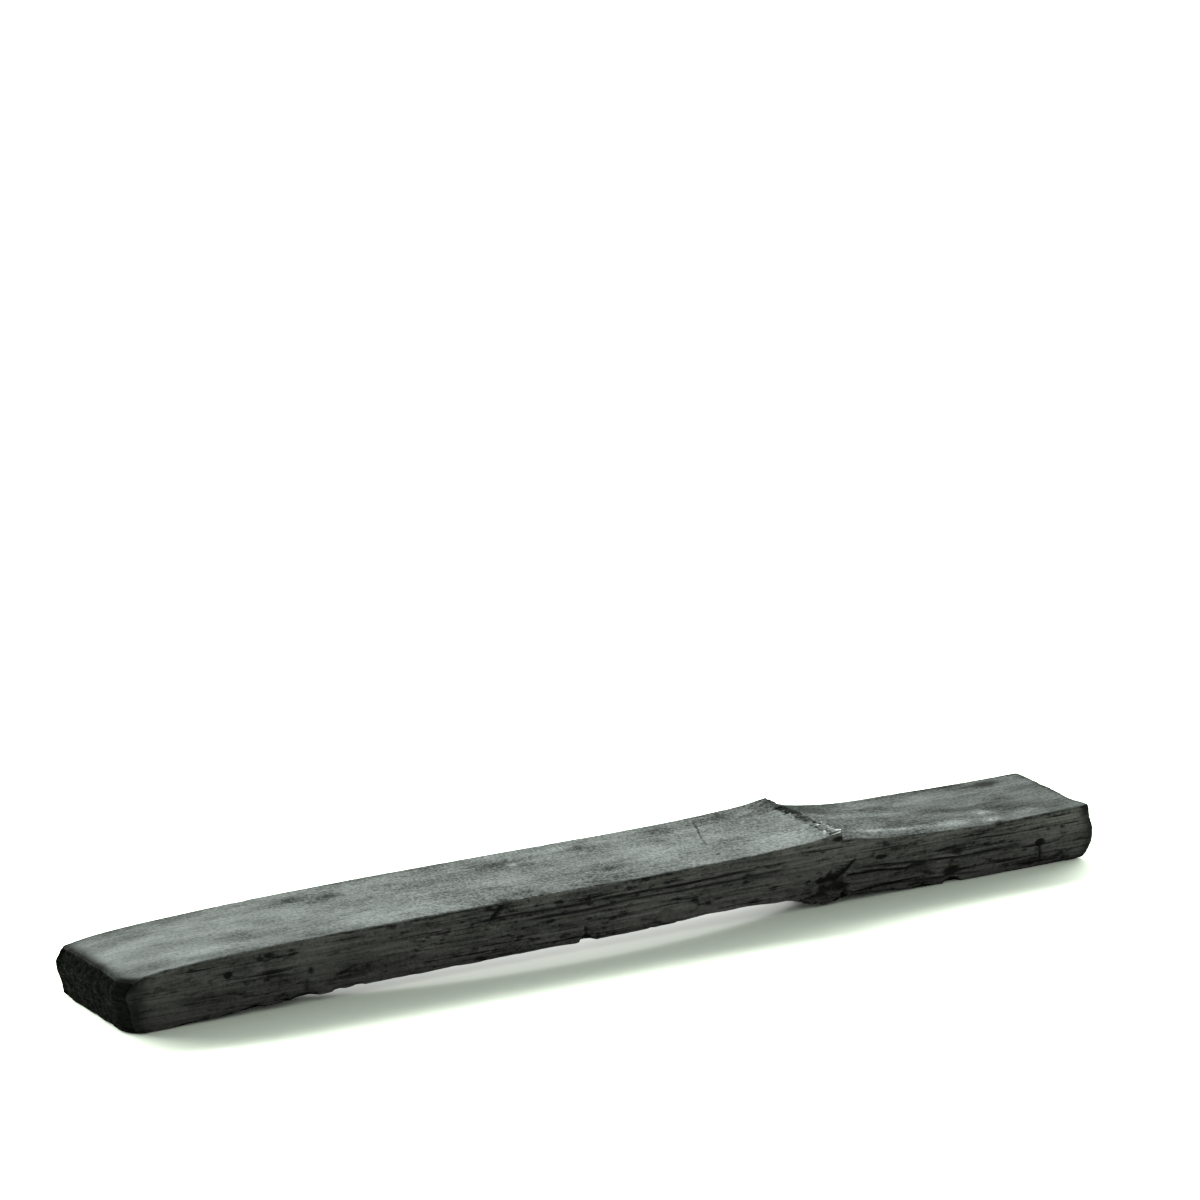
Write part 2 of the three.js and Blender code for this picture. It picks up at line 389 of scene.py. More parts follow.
GROOVES = (
    Groove(Side.NEAR, 0.73, -26, 22, 0.3),
    Groove(Side.NEAR, 0.6, -20, 27, 0.26),
    Groove(Side.NEAR, 0.35, -15, 4, 0.2),
    Groove(Side.NEAR, 0.48, 34, 66, 0.3),
    Groove(Side.NEAR, 0.14, 35, 60, 0.2),
    Groove(Side.FAR, 0.73, -58, -8, 0.28),
    Groove(Side.FAR, 0.48, -40, 18, 0.3),
    Groove(Side.FAR, 0.35, 38, 70, 0.25),
    Groove(Side.FAR, 0.6, 2, 31, 0.22),
)
CHIPS = (
    Chip(Side.NEAR, Edge.SKIN, -19.4, 1.1, 0.55),
    Chip(Side.NEAR, Edge.PITH, -6.8, 1.3, 0.7),
    Chip(Side.NEAR, Edge.PITH, -49.5, 2.2, 0.45),
    Chip(Side.NEAR, Edge.PITH, 52.6, 1.6, 0.5),
    Chip(Side.NEAR, Edge.SKIN, 60.6, 0.9, 0.35),
    Chip(Side.FAR, Edge.PITH, 11, 2.4, 0.6),
    Chip(Side.FAR, Edge.PITH, -31, 1.8, 0.4),
    Chip(Side.NEAR, Edge.SKIN, 5.7, 0.7, 0.2),
    Chip(Side.NEAR, Edge.SKIN, 8.8, 0.6, 0.22),
    Chip(Side.NEAR, Edge.SKIN, 11.4, 0.8, 0.2),
    Chip(Side.NEAR, Edge.PITH, 3.3, 0.5, 0.2),
    Chip(Side.NEAR, Edge.PITH, 7.8, 0.6, 0.22),
    Chip(Side.NEAR, Edge.PITH, -56.8, 1.2, 0.3),
    Chip(Side.NEAR, Edge.PITH, -52.2, 0.7, 0.3),
    Chip(Side.NEAR, Edge.PITH, -44.7, 0.8, 0.3),
    Chip(Side.NEAR, Edge.PITH, -41.6, 1.0, 0.28),
)
NEAR_CRACKS = (
    Crack(((-19.6, 9.2), (-20.4, 8.1), (-21.6, 6.9)), 0.42, 0.5),
    Crack(((-30.0, 6.6), (-31.4, 6.0), (-33.2, 4.6)), 0.2, 0.22),
    Crack(((-6.8, 1.3), (-6.9, 2.4), (-7.0, 3.5)), 0.26, 0.4),
    Crack(((36.4, 6.1), (35.2, 5.2), (34.0, 4.3), (32.7, 3.3)), 0.24, 0.36),
    Crack(((34.9, 4.0), (37.2, 3.9), (40.0, 3.85), (44.0, 3.45), (48.5, 3.6)), 0.24, 0.36, 0.1),
    Crack(((35.7, 1.3), (38.1, 1.42), (44.6, 1.62)), 0.2, 0.22),
    Crack(((67.5, 3.2), (67.7, 1.9), (67.6, 0.5)), 0.26, 0.24),
    Crack(((-56.0, 8.0), (-56.2, 6.9)), 0.24, 0.18),
    Crack(((-49.1, 3.4), (-49.0, 1.4)), 0.3, 0.2),
)
FAR_CRACKS = (
    Crack(((-62.0, 7.4), (-61.0, 5.9), (-58.6, 4.9)), 0.26, 0.3),
    Crack(((28.4, 6.8), (30.4, 5.3), (33.2, 4.4), (39.0, 4.2)), 0.24, 0.34, 0.08),
    Crack(((11.0, 1.7), (10.7, 3.1), (11.2, 4.3)), 0.26, 0.35),
    Crack(((55.4, 7.8), (56.6, 6.5), (57.0, 5.6)), 0.26, 0.3),
)
SKIN_CRACKS = (
    Crack(((19.9, 7.2), (18.9, 4.2), (17.6, 1.4), (16.2, -2.9)), 0.15, 0.16),
    Crack(((-14.2, -8.95), (-10.0, -8.5), (-6.0, -7.8)), 0.18, 0.07),
    Crack(((3.2, 5.8), (7.0, 5.5), (10.6, 5.5)), 0.3, 0.04),
)
PITS = (
    Pit(Side.NEAR, 67.6, 3.5, 0.8, 0.6, 0.5),
    Pit(Side.NEAR, -60.6, 5.9, 0.6, 0.5, 0.35),
    Pit(Side.NEAR, -48.5, 4.5, 0.45, 0.5, 0.25),
    Pit(Side.NEAR, -54.7, 7.6, 0.7, 0.35, 0.22),
    Pit(Side.NEAR, 53.4, 4.5, 0.9, 0.5, 0.35),
    Pit(Side.NEAR, 52.4, 1.8, 1.5, 0.8, 0.4),
    Pit(Side.NEAR, 46.8, 3.7, 1.8, 0.4, 0.3),
    Pit(Side.NEAR, 40.7, 5.7, 1.1, 0.3, 0.25),
    Pit(Side.NEAR, 71.5, 5.4, 0.35, 0.3, 0.2),
    Pit(Side.NEAR, 12.4, 3.6, 0.6, 0.35, 0.25),
    Pit(Side.NEAR, 33.7, 9.45, 1.3, 0.45, 0.25),
    Pit(Side.FAR, -30.5, 5.2, 0.8, 0.5, 0.35),
    Pit(Side.FAR, 48.0, 3.0, 1.3, 0.6, 0.4),
    Pit(Side.FAR, 64.0, 5.1, 0.5, 0.4, 0.3),
    Pit(Side.FAR, -8.0, 3.2, 0.7, 0.4, 0.3),
)
STAINS = (
    Mark(-44.2, 5.8, 2.2, 1.0, 0.55),
    Mark(-38.4, 4.6, 2.0, 0.9, 0.6),
    Mark(-66.0, 4.8, 5.0, 2.0, 0.25),
    Mark(-13.8, 5.0, 3.2, 1.6, 0.5),
    Mark(-10.0, 2.8, 1.2, 0.6, 0.6),
    Mark(-8.6, 2.2, 0.9, 0.5, 0.45),
    Mark(0.3, 5.6, 1.8, 0.9, 0.55),
    Mark(-5.4, -3.6, 2.2, 0.5, 0.3),
    Mark(-17.3, -4.3, 2.0, 0.45, 0.3),
    Mark(-25.3, -2.1, 3.0, 0.4, 0.25),
    Mark(12.6, 6.8, 2.2, 1.0, 0.45),
    Mark(-0.6, -4.4, 1.7, 0.8, 0.5),
    Mark(12.2, -0.1, 1.1, 0.35, 0.4),
    Mark(12.6, -4.1, 0.6, 0.35, 0.5),
    Mark(15.8, -6.3, 0.35, 0.3, 0.7),
    Mark(5.7, -0.5, 0.35, 0.3, 0.5),
    Mark(1.9, 5.0, 0.4, 0.3, 0.6),
    Mark(24.0, 7.4, 4.0, 1.8, 0.25),
    Mark(31.5, 7.2, 3.0, 2.2, 0.35),
    Mark(69.2, 6.9, 1.8, 0.8, 0.75),
    Mark(62.9, -1.4, 2.2, 0.6, 0.4),
    Mark(64.4, -3.6, 2.0, 0.6, 0.3),
    Mark(47.9, 4.2, 3.0, 0.8, 0.3),
    Mark(37.0, 2.0, 5.0, 9.0, 0.14),
)
SMUDGES = (
    Mark(-61.6, -5.8, 3.5, 1.2, 0.3),
    Mark(-55.0, -0.9, 2.4, 1.0, 0.25),
    Mark(-30.0, -6.0, 9.0, 2.2, 0.22),
    Mark(-11.0, 3.4, 0.9, 0.6, 0.55),
    Mark(-2.0, 7.0, 2.4, 0.7, 0.3),
    Mark(10.0, -3.4, 5.0, 2.2, 0.25),
    Mark(27.0, -5.6, 6.0, 2.8, 0.3),
    Mark(60.7, -4.6, 1.6, 0.9, 0.45),
    Mark(60.4, -7.8, 1.6, 0.8, 0.5),
    Mark(54.2, -6.9, 3.2, 1.0, 0.45),
    Mark(66.9, -6.9, 2.2, 0.8, 0.25),
    Mark(41.6, -5.9, 2.6, 0.9, 0.4),
    Mark(46.7, -6.4, 3.4, 0.8, 0.45),
)


@dataclass(frozen=True)
class CharRelief:
    """The fine relief of the charred surfaces: depths in millimetres, and soot with painted shade in their
    hollows, from 0 to 1.
    """

    form: CulmForm
    wave_depth: float = 0.1
    wave_grain: float = 1.6
    wave_stretch: float = 0.25
    wave_shift: float = 40.0
    groove_fade: float = 6.0
    groove_wander: float = 0.03
    strand_depth: float = 0.06
    strand_length: float = 17.0
    strand_width: float = 0.52
    torn_shift: float = 1.6
    torn_long: float = 3.8
    torn_tall: float = 2.7
    torn_height: float = 2.3
    torn_depth: float = 0.6
    torn_grain: float = 1.3
    comb_pitch: float = 0.5
    comb_depth: float = 0.09

    def groove_cut(self, side: Side, x: Array, up: Array, tall: Array) -> Array:
        """Depth of a side's fibre grooves.

        Args:
            side: which long side.
            x: place along the strip.
            up: share of the wall's height.
            tall: the wall's height there.

        Returns:
            The depth at each place.
        """
        depth = np.zeros_like(x)
        for number, groove in enumerate(g for g in GROOVES if g.side == side):
            wander = self.groove_wander * (2.0 * fractal(x / 9.0, number, 0.0, 31) - 1.0)
            off = np.abs(up - groove.up - wander) * tall / groove.half
            ragged = 0.55 + 0.9 * fractal(x / 2.4, number, 5.0, 37)
            run = within(x, groove.start, groove.stop, self.groove_fade)
            depth = np.maximum(depth, groove.depth * run * ragged * np.clip(1.0 - off, 0.0, 1.0))
        return depth

    def side_cut(self, side: Side, x: Array, up: Array, height: Array, tall: Array) -> tuple[Array, Array]:
        """Depth of a long split side, and the soot and painted shade of its hollows.

        Args:
            side: which long side.
            x: place along the strip.
            up: share of the wall's height.
            height: height above the surface that the strip lies on.
            tall: the wall's height there.

        Returns:
            The depth, and the soot and painted shade, at each place.
        """
        shift = side.value * self.wave_shift
        wave = uneven(x * self.wave_stretch + shift, up * self.form.wall, self.wave_grain)
        waved = self.wave_depth * (1.0 + wave)
        strands = fractal(x / self.strand_length, height / self.strand_width, shift, 11)
        strand_cut = self.strand_depth * (1.0 - np.abs(2.0 * strands - 1.0)) ** 4
        grooves = self.groove_cut(side, x, up, tall)
        cracks, lips = crack_cut(NEAR_CRACKS if side == Side.NEAR else FAR_CRACKS, x, height)
        pits = np.zeros_like(x)
        warp = 1.6 * (fractal(x / 1.2, height / 0.9, shift, 19, 2) - 0.5)
        grain_up = 0.5 * self.torn_grain
        rough = fractal((x + warp) / self.torn_grain, (height + 0.7 * warp) / grain_up, shift, 17, 4)
        for pit in (p for p in PITS if p.side == side):
            reach = ((x - pit.x) / pit.long) ** 2 + ((height - pit.height) / pit.tall) ** 2
            pits = np.maximum(pits, pit.depth * np.clip(1.6 - reach - 0.9 * rough, 0.0, 1.0))
        off_x = (x - self.form.torn_x - self.torn_shift) / self.torn_long
        off_z = (height - self.torn_height) / self.torn_tall
        torn_here = smoothstep(1.15 - off_x**2 - off_z**2 + 1.2 * (rough - 0.5), 0.0, 0.7)
        torn = self.torn_depth * torn_here * smoothstep(rough, 0.32, 0.68)
        depth = waved + strand_cut + grooves + np.maximum(cracks, pits) + torn - lips
        # Painted shade: strands, grooves, cracks, pits and the torn hollow under the scar are blackened as if
        # in shadow.
        shade_and_soot = 0.3 * strand_cut / self.strand_depth + grooves / 0.25 + cracks / 0.16 + pits / 0.16
        shade_and_soot = np.maximum(shade_and_soot, 0.35 * torn_here + 0.65 * torn / self.torn_depth)
        return depth, np.clip(shade_and_soot, 0.0, 1.0)

    def ragged_scar(self, y: Array) -> Array:
        """How far the scar's ragged edge stands past or short of its mean line."""
        teeth = fractal(y / 0.45, 0.0, 3.0, 41, 2)
        steps = fractal(y / 2.6, 0.0, 9.0, 43, 2)
        spur = 0.35 * (1.0 - smoothstep(y, -9.2, -7.6))
        middle = 0.2 * within(y, -8.0, 8.0, 4.0)
        return 0.6 * (teeth - 0.5) + 0.4 * (steps - 0.5) * (1.0 - smoothstep(y, 3.0, 6.0)) + spur + middle

    def scar_comb(self, x: Array, y: Array) -> Array:
        """Gaps between the fibre ends that line the scar, like a comb's, from 0 to 1."""
        back = self.form.scar_x + self.ragged_scar(y) - x
        strokes = fractal((x + 0.6 * y) / 3.0, y / self.comb_pitch, 0.0, 45, 2)
        reach = 0.5 + 2.2 * fractal(y / 0.9, 0.0, 2.0, 49, 2) ** 1.2
        gaps = smoothstep(strokes, 0.46, 0.56) * (1.0 - smoothstep(back, 0.7 * reach, reach))
        torn = 0.15 + 1.2 * fractal(y / 1.1, 0.0, 4.0, 47, 2) ** 1.3 * within(y, -6.5, 6.2, 3.0)
        line = 1.0 - smoothstep(back, torn, torn + 0.15)
        faded = (0.25 + 0.75 * smoothstep(y, -8.0, -3.5)) * (1.0 - 0.7 * smoothstep(y, 5.5, 7.5))
        return np.maximum(gaps, line) * (back > -0.7) * faded

    def silver_fibres(self, x: Array, y: Array) -> Array:
        """Silvery flecks on the skin's fibre ends before the scar, most on its near half, from 0 to 1."""
        back = self.form.scar_x + self.ragged_scar(y) - x
        flecks = smoothstep(fractal((x + 0.6 * y) / 1.6, y / 0.4, 3.0, 59, 2), 0.5, 0.64)
        reach = 0.5 + 2.2 * fractal(y / 1.7, 0.0, 6.0, 69, 2) ** 2
        fringe = flecks * within(back, -0.3, reach, 0.3) * (1.0 - 0.85 * smoothstep(y, -6.0, 3.0))
        spur = within(back, -0.4, 1.7, 0.5) * (1.0 - smoothstep(y, -9.1, -8.2))
        return np.maximum(fringe, spur)

    def skin_cut(self, x: Array, y: Array) -> tuple[Array, Array]:
        """Depth of the skin, and the painted shade of its cracks and of the scar's comb.

        Args:
            x: place along the strip.
            y: place across the strip.

        Returns:
            The depth, and the soot and painted shade, at each place.
        """
        rolling = 0.05 * fractal(x / 16.0, y / 2.6, 1.0, 51)
        to_scar = np.clip((x - self.form.scar_x + 5.0) / 5.0, 0.0, 1.0) * (x < self.form.scar_x + 1.0)
        fibres = 1.0 - np.abs(2.0 * fractal(x / 6.0, y / 0.4, 2.0, 53, 2) - 1.0)
        fibre_cut = 0.05 * to_scar**2 * fibres**3
        stain_pits = 0.06 * marked(STAINS, x, y) * fractal(x / 0.6, y / 0.5, 4.0, 57)
        cracks, _ = crack_cut(SKIN_CRACKS, x, y)
        comb = self.scar_comb(x, y)
        depth = rolling + fibre_cut + stain_pits + cracks + self.comb_depth * comb
        # Painted shade: the cracks, and the comb's gaps and line along the scar, are blackened as if in
        # shadow.
        return depth, np.clip(cracks / 0.12 + 0.95 * comb, 0.0, 1.0)

    def pith_cut(self, x: Array, y: Array) -> tuple[Array, Array]:
        """Depth of the pith side, and the soot and painted shade of its strands and torn hollows."""
        lumps = 0.2 * np.maximum(0.0, fractal(x / 2.6, y / 1.3, 6.0, 61) - 0.4)
        strands = 1.0 - np.abs(2.0 * fractal(x / 22.0, y / 1.1, 7.0, 63) - 1.0)
        strand_cut = 0.14 * np.maximum(0.0, strands - 0.3) ** 3
        off_node = (x - self.form.torn_x) / self.torn_long
        torn = 0.5 * np.exp(-(off_node**2)) * smoothstep(fractal(x / 0.8, y / 0.8, 8.0, 67), 0.4, 0.8)
        # Painted shade: the strands and the torn hollows are blackened as if in shadow.
        return lumps + strand_cut + torn, np.clip(strand_cut / 0.12 + torn / 0.3, 0.0, 1.0)

    def end_cut(self, y: Array, height: Array, rim: Array, seed: int) -> tuple[Array, Array]:
        """Depth of a snapped end, where each fibre bundle broke at its own length, and its soot with painted
        shade between the bundles.

        Args:
            y: place across the strip.
            height: height above the surface that the strip lies on.
            rim: distance from the end's outline.
            seed: which of many patterns.

        Returns:
            The depth, and the soot and painted shade, at each place.
        """
        spread = fractal(y / 3.0, height / 3.0, 0.0, seed + 9)
        distance, own = fibre_bundles(y / 0.75, height / 0.6, seed)
        steps = 0.34 * own + 0.3 * smoothstep(distance, 0.25, 0.75)
        rough = 0.7 * np.maximum(0.0, spread - 0.3) + 0.2 * fractal(y / 0.5, height / 0.5, 1.0, seed + 5)
        inward = 0.25 + 0.75 * smoothstep(rim, 0.0, 0.7)
        # Soot and painted shade: darker with each bundle's own share and towards the gaps between bundles.
        return inward * (steps + rough), np.clip(0.35 + 0.65 * own * smoothstep(distance, 0.2, 0.7), 0.0, 1.0)


def crack_cut(cracks: tuple[Crack, ...], a: Array, b: Array) -> tuple[Array, Array]:
    """Depth of a surface's cracks, and how far their upper lips stand proud.

    Args:
        cracks: the cracks on the surface.
        a: first coordinate on the surface.
        b: second coordinate on the surface.

    Returns:
        The depth and the lip's rise at each place.
    """
    depth = np.zeros_like(a)
    rise = np.zeros_like(a)
    wobble = 0.16 * (fractal(a / 0.9, b / 0.9, 0.0, 71) - 0.5)
    for crack in cracks:
        count = len(crack.points) - 1
        for part, (start, stop) in enumerate(zip(crack.points, crack.points[1:])):
            run = np.subtract(stop, start)
            along = ((a - start[0]) * run[0] + (b - start[1]) * run[1]) / (run @ run)
            share = np.clip(along, 0.0, 1.0)
            off = np.hypot(a - start[0] - share * run[0], b - start[1] - share * run[1])
            whole = (part + share) / count
            taper = np.clip(np.minimum(whole, 1.0 - whole) * 5.0 + 0.35, 0.0, 1.0)
            cut = crack.depth * taper * np.clip(1.0 - (off + wobble) / crack.half, 0.0, 1.0)
            depth = np.maximum(depth, cut)
            above = b - start[1] - share * run[1] > 0.0
            proud = np.clip(1.0 - np.abs(off - crack.half) / crack.half, 0.0, 1.0) * above
            rise = np.maximum(rise, crack.lip * taper * proud)
    return depth, rise


def marked(marks: tuple[Mark, ...], x: Array, y: Array) -> Array:
    """How strongly marks lie on the skin at each place, from 0 to 1."""
    total = np.zeros_like(x)
    for mark in marks:
        reach = ((x - mark.x) / mark.long) ** 2 + ((y - mark.y) / mark.wide) ** 2
        total = np.maximum(total, mark.strength * np.exp(-reach))
    return total


@dataclass(frozen=True)
class Zone:
    """A stretch of the surface that is divided more finely: ranges of x, across and up."""

    x: tuple[float, float]
    across: tuple[float, float]
    up: tuple[float, float]
    cuts: int


@dataclass(frozen=True)
class SurfaceGrid:
    """How finely the strip's surface is divided, in millimetres."""

    form: CulmForm
    station_steps: Line = (
        (-77, 0.5), (-72, 0.62), (23, 0.62), (28.5, 0.36), (44, 0.38), (50, 0.62), (72, 0.62), (77, 0.5),
    )
    column_step: float = 0.58
    edge_columns: tuple[float, ...] = (0.0, 0.1, 0.22, 0.38, 0.6, 0.95)
    row_count: int = 56
    zones: tuple[Zone, ...] = (
        Zone((27.5, 36.5), (-1.0, 1.0), (1.0, 1.0), 1),
        Zone((31.6, 34.7), (-1.0, 1.0), (1.0, 1.0), 2),
        Zone((15.6, 20.6), (-0.36, 0.8), (1.0, 1.0), 2),
        Zone((29.5, 45.0), (-1.0, -1.0), (0.0, 1.0), 1),
        Zone((27.5, 40.0), (1.0, 1.0), (0.0, 1.0), 1),
        Zone((-77.0, -77.0), (-1.0, 1.0), (0.0, 1.0), 1),
        Zone((77.0, 77.0), (-1.0, 1.0), (0.0, 1.0), 1),
        Zone((-22.5, -18.0), (-1.0, -1.0), (0.6, 1.0), 1),
        Zone((-8.2, -5.6), (-1.0, -1.0), (0.0, 0.4), 1),
        Zone((66.4, 68.8), (-1.0, -1.0), (0.05, 0.65), 2),
        Zone((-61.5, -59.7), (-1.0, -1.0), (0.55, 0.85), 2),
        Zone((-57.0, -53.6), (-1.0, -1.0), (0.7, 1.0), 1),
    )

    def stations(self) -> Array:
        """Places along the strip, closer where the surface needs it."""
        places, steps = np.array(self.station_steps).T
        made = [-self.form.length / 2]
        while made[-1] < self.form.length / 2:
            made.append(made[-1] + float(np.interp(made[-1], places, steps)))
        share = (np.array(made) - made[0]) / (made[-1] - made[0])
        return (share - 0.5) * self.form.length

    def columns(self) -> Array:
        """Places across the strip, closer at its edges, as shares of the half width."""
        half = self.form.width / 2
        inner = half - self.edge_columns[-1]
        count = round(2 * inner / self.column_step)
        middle = np.linspace(-inner, inner, count + 1)
        edge = half - np.array(self.edge_columns[:-1])
        return np.concatenate((-edge, middle, edge[::-1])) / half

    def rows(self) -> Array:
        """Places up the wall, as shares of its height."""
        return np.linspace(0.0, 1.0, self.row_count + 1)


class CharredStrip:
    """The charred strip itself: one closed body, from end to end."""

    name = "charred_strip"
    edge_round = 0.27
    worn_end_round = 1.05
    worn_end_reach = 3.5
    sooty_end = 1.7
    sooty_side = 2.4
    box_tolerance = 1e-6
    gap_share = 0.55
    # Small chips scattered along the edges
    small_seed = 5
    small_counts = {Edge.SKIN: 18, Edge.PITH: 40}
    small_reach = 74.0
    small_half = (0.35, 1.1)
    small_depth = (0.05, 0.16)

    def __init__(self, form: CulmForm, ends: BrokenEnds, relief: CharRelief, grid: SurfaceGrid) -> None:
        """Keeps what the strip's surface is worked out from."""
        self.form = form
        self.ends = ends
        self.relief = relief
        self.grid = grid

    def divided_box(self) -> bmesh.types.BMesh:
        """Divides a box along, across and up, and more finely in the grid's zones.

        Returns:
            A box whose points are places along, across and up the strip.
        """
        lines = (self.grid.stations(), self.grid.columns(), self.grid.rows())
        box = bmesh.new()
        bmesh.ops.create_cube(box, size=1.0)
        for axis, line in enumerate(lines):
            edges = [e for e in box.edges if abs(e.verts[0].co[axis] - e.verts[1].co[axis]) > 0.5]
            bmesh.ops.subdivide_edges(box, edges=edges, cuts=len(line) - 2, use_grid_fill=True)
        for vert in box.verts:
            vert.co = [line[round((place + 0.5) * (len(line) - 1))] for place, line in zip(vert.co, lines)]
        for zone in self.grid.zones:
            self.refine(box, zone)
        bmesh.ops.triangulate(box, faces=[f for f in box.faces if len(f.verts) > 4])
        return box

    @staticmethod
    def refine(box: bmesh.types.BMesh, zone: Zone) -> None:
        """Divides the box's faces in one zone."""
        margin = 1e-4
        ranges = (zone.x, zone.across, zone.up)
        inside = []
        for face in box.faces:
            middle = face.calc_center_median()
            if all(low - margin <= place <= high + margin for place, (low, high) in zip(middle, ranges)):
                inside.append(face)
        edges = {edge for face in inside for edge in face.edges}
        bmesh.ops.subdivide_edges(box, edges=list(edges), cuts=zone.cuts, use_grid_fill=True)

    def edge_radius(self, x: Array, across: Array, up: Array) -> Array:
        """Worn radius of the nearest long edge, in millimetres."""
        worn = 0.7 + 0.6 * fractal(x / 5.0, np.round(up), 0.0, 81)
        worn *= 1.0 - 0.55 * within(x, 22.0, self.form.scar_x + 2.0, 2.0)
        to_left = 1.0 - smoothstep(x, -self.form.length / 2, self.worn_end_reach - self.form.length / 2)
        to_left *= 1.0 - 0.8 * smoothstep(across, -0.4, 0.6)
        return self.edge_round * worn + (self.worn_end_round - self.edge_round) * to_left

    def rounded(self, box: Array, tall: Array, radius: Array) -> tuple[Array, Array]:
        """Rounds the edges of the straight box.

        Args:
            box: points of the box, in millimetres.
            tall: the wall's height at each point.
            radius: the edge's radius at each point.

        Returns:
            The points on the rounded box, and the way that its surface faces there.
        """
        zeros = np.zeros_like(tall)
        low = np.stack((zeros - self.form.length / 2, zeros - self.form.width / 2, zeros), axis=1)
        high = np.stack((zeros + self.form.length / 2, zeros + self.form.width / 2, tall), axis=1)
        core = np.clip(box, low + radius[:, None], high - radius[:, None])
        outward = box - core
        facing = outward / np.linalg.norm(outward, axis=1)[:, None]
        return core + facing * radius[:, None], facing

    def chipped(self, box: Array, tall: Array) -> tuple[Array, Array, Array]:
        """Works out the chips of the four long edges.

        Args:
            box: points of the straight box, in millimetres.
            tall: the wall's height at each point.

        Returns:
            How far each point moves across and up, and the painted shade in its chip.
        """
        across = np.zeros_like(tall)
        upward = np.zeros_like(tall)
        shade_and_soot = np.zeros_like(tall)
        rough = 0.6 + 0.8 * fractal(box[:, 0] / 0.5, box[:, 1] / 0.5, box[:, 2] / 0.5, 91)
        for chip in CHIPS + self.small_chips():
            from_side = self.form.width / 2 - chip.side.value * box[:, 1]
            from_edge = tall - box[:, 2] if chip.edge == Edge.SKIN else box[:, 2]
            reach = 1.0 - (from_side + from_edge) / (2.2 * chip.depth)
            run = 1.0 - smoothstep(np.abs(box[:, 0] - chip.x), 0.3 * chip.half, chip.half)
            deep = chip.depth * run * rough * np.clip(reach, 0.0, 1.0)
            across -= chip.side.value * deep
            upward += deep if chip.edge == Edge.PITH else -deep
            # Painted shade: the deeper in a chip, the darker.
            shade_and_soot = np.maximum(shade_and_soot, deep / chip.depth)
        return across, upward, shade_and_soot

    def small_chips(self) -> tuple[Chip, ...]:
        """Small chips scattered along the four long edges."""
        draw = random.Random(self.small_seed)
        chips = []
        for side, edge in product(Side, Edge):
            for _ in range(self.small_counts[edge]):
                place = draw.uniform(-self.small_reach, self.small_reach)
                half = draw.uniform(*self.small_half)
                chips.append(Chip(side, edge, place, half, draw.uniform(*self.small_depth)))
        return tuple(chips)

    def surface(self, along: Array, across: Array, up: Array) -> tuple[Array, Array]:
        """Moves the box's points to their places on the charred surface.

        Args:
            along: place along the strip, in millimetres.
            across: place across it, as a share of the half width.
            up: place up the wall, as a share of its height.

        Returns:
            The points in millimetres, and their soot and painted shade.
        """
        form, relief = self.form, self.relief
        half = form.length / 2
        y = across * form.width / 2
        tall = form.skin_height(along, y, relief.ragged_scar(y)) - form.pith_height(along, y)
        box = np.stack((along, y, up * tall), axis=1)
        points, facing = self.rounded(box, tall, self.edge_radius(along, across, up))
        height = form.pith_height(along, y) + box[:, 2]

        near, near_shade_and_soot = relief.side_cut(Side.NEAR, along, up, height, tall)
        far, far_shade_and_soot = relief.side_cut(Side.FAR, along, up, height, tall)
        skin, skin_shade_and_soot = relief.skin_cut(along, y)
        pith, pith_shade_and_soot = relief.pith_cut(along, y)
        rim = np.minimum(form.width / 2 - np.abs(y), np.minimum(box[:, 2], tall - box[:, 2]))
        left, left_shade_and_soot = relief.end_cut(y, height, rim, 101)
        right, right_shade_and_soot = relief.end_cut(y, height, rim, 131)
        chip_across, chip_up, chip_shade = self.chipped(box, tall)

        side_cut = np.where(across < 0, near, far)
        face_cut = np.where(up > 0.5, skin, pith)
        end_cut = np.where(along < 0, left, right)
        points -= facing * np.stack((end_cut, side_cut, face_cut), axis=1)
        points[:, 1] += chip_across
        points[:, 2] = np.clip(points[:, 2] + chip_up, 0.0, tall)

        left_share = 1.0 - smoothstep(along, -half, form.end_reach - half)
        right_share = smoothstep(along, half - form.end_reach, half)
        points[:, 0] += self.ends.left_inset(form, across, up) * left_share
        points[:, 0] -= self.ends.right_inset(form, across, up) * right_share
        points[:, 0] -= form.scar_offset(along, y)
        points[:, 2] += form.pith_height(along, y)

        share = facing**2
        sooty = self.sooty_end + self.sooty_side * share[:, 1]
        from_end = np.where(along < 0, along + half, 2.2 * (half - along)) / sooty
        worn_soot = np.exp(-(from_end**2)) * (0.7 + 0.8 * fractal(along / 1.6, y / 1.6, height / 1.6, 111))
        # Painted shade of each surface's hollows, with soot; the chips' painted shade and the ends' soot go
        # over it.
        shade_and_soot = share[:, 0] * np.where(along < 0, left_shade_and_soot, right_shade_and_soot)
        shade_and_soot += share[:, 1] * np.where(across < 0, near_shade_and_soot, far_shade_and_soot)
        shade_and_soot += share[:, 2] * np.where(up > 0.5, skin_shade_and_soot, pith_shade_and_soot)
        return points, np.clip(np.maximum(np.maximum(shade_and_soot, chip_shade), worn_soot), 0.0, 1.0)

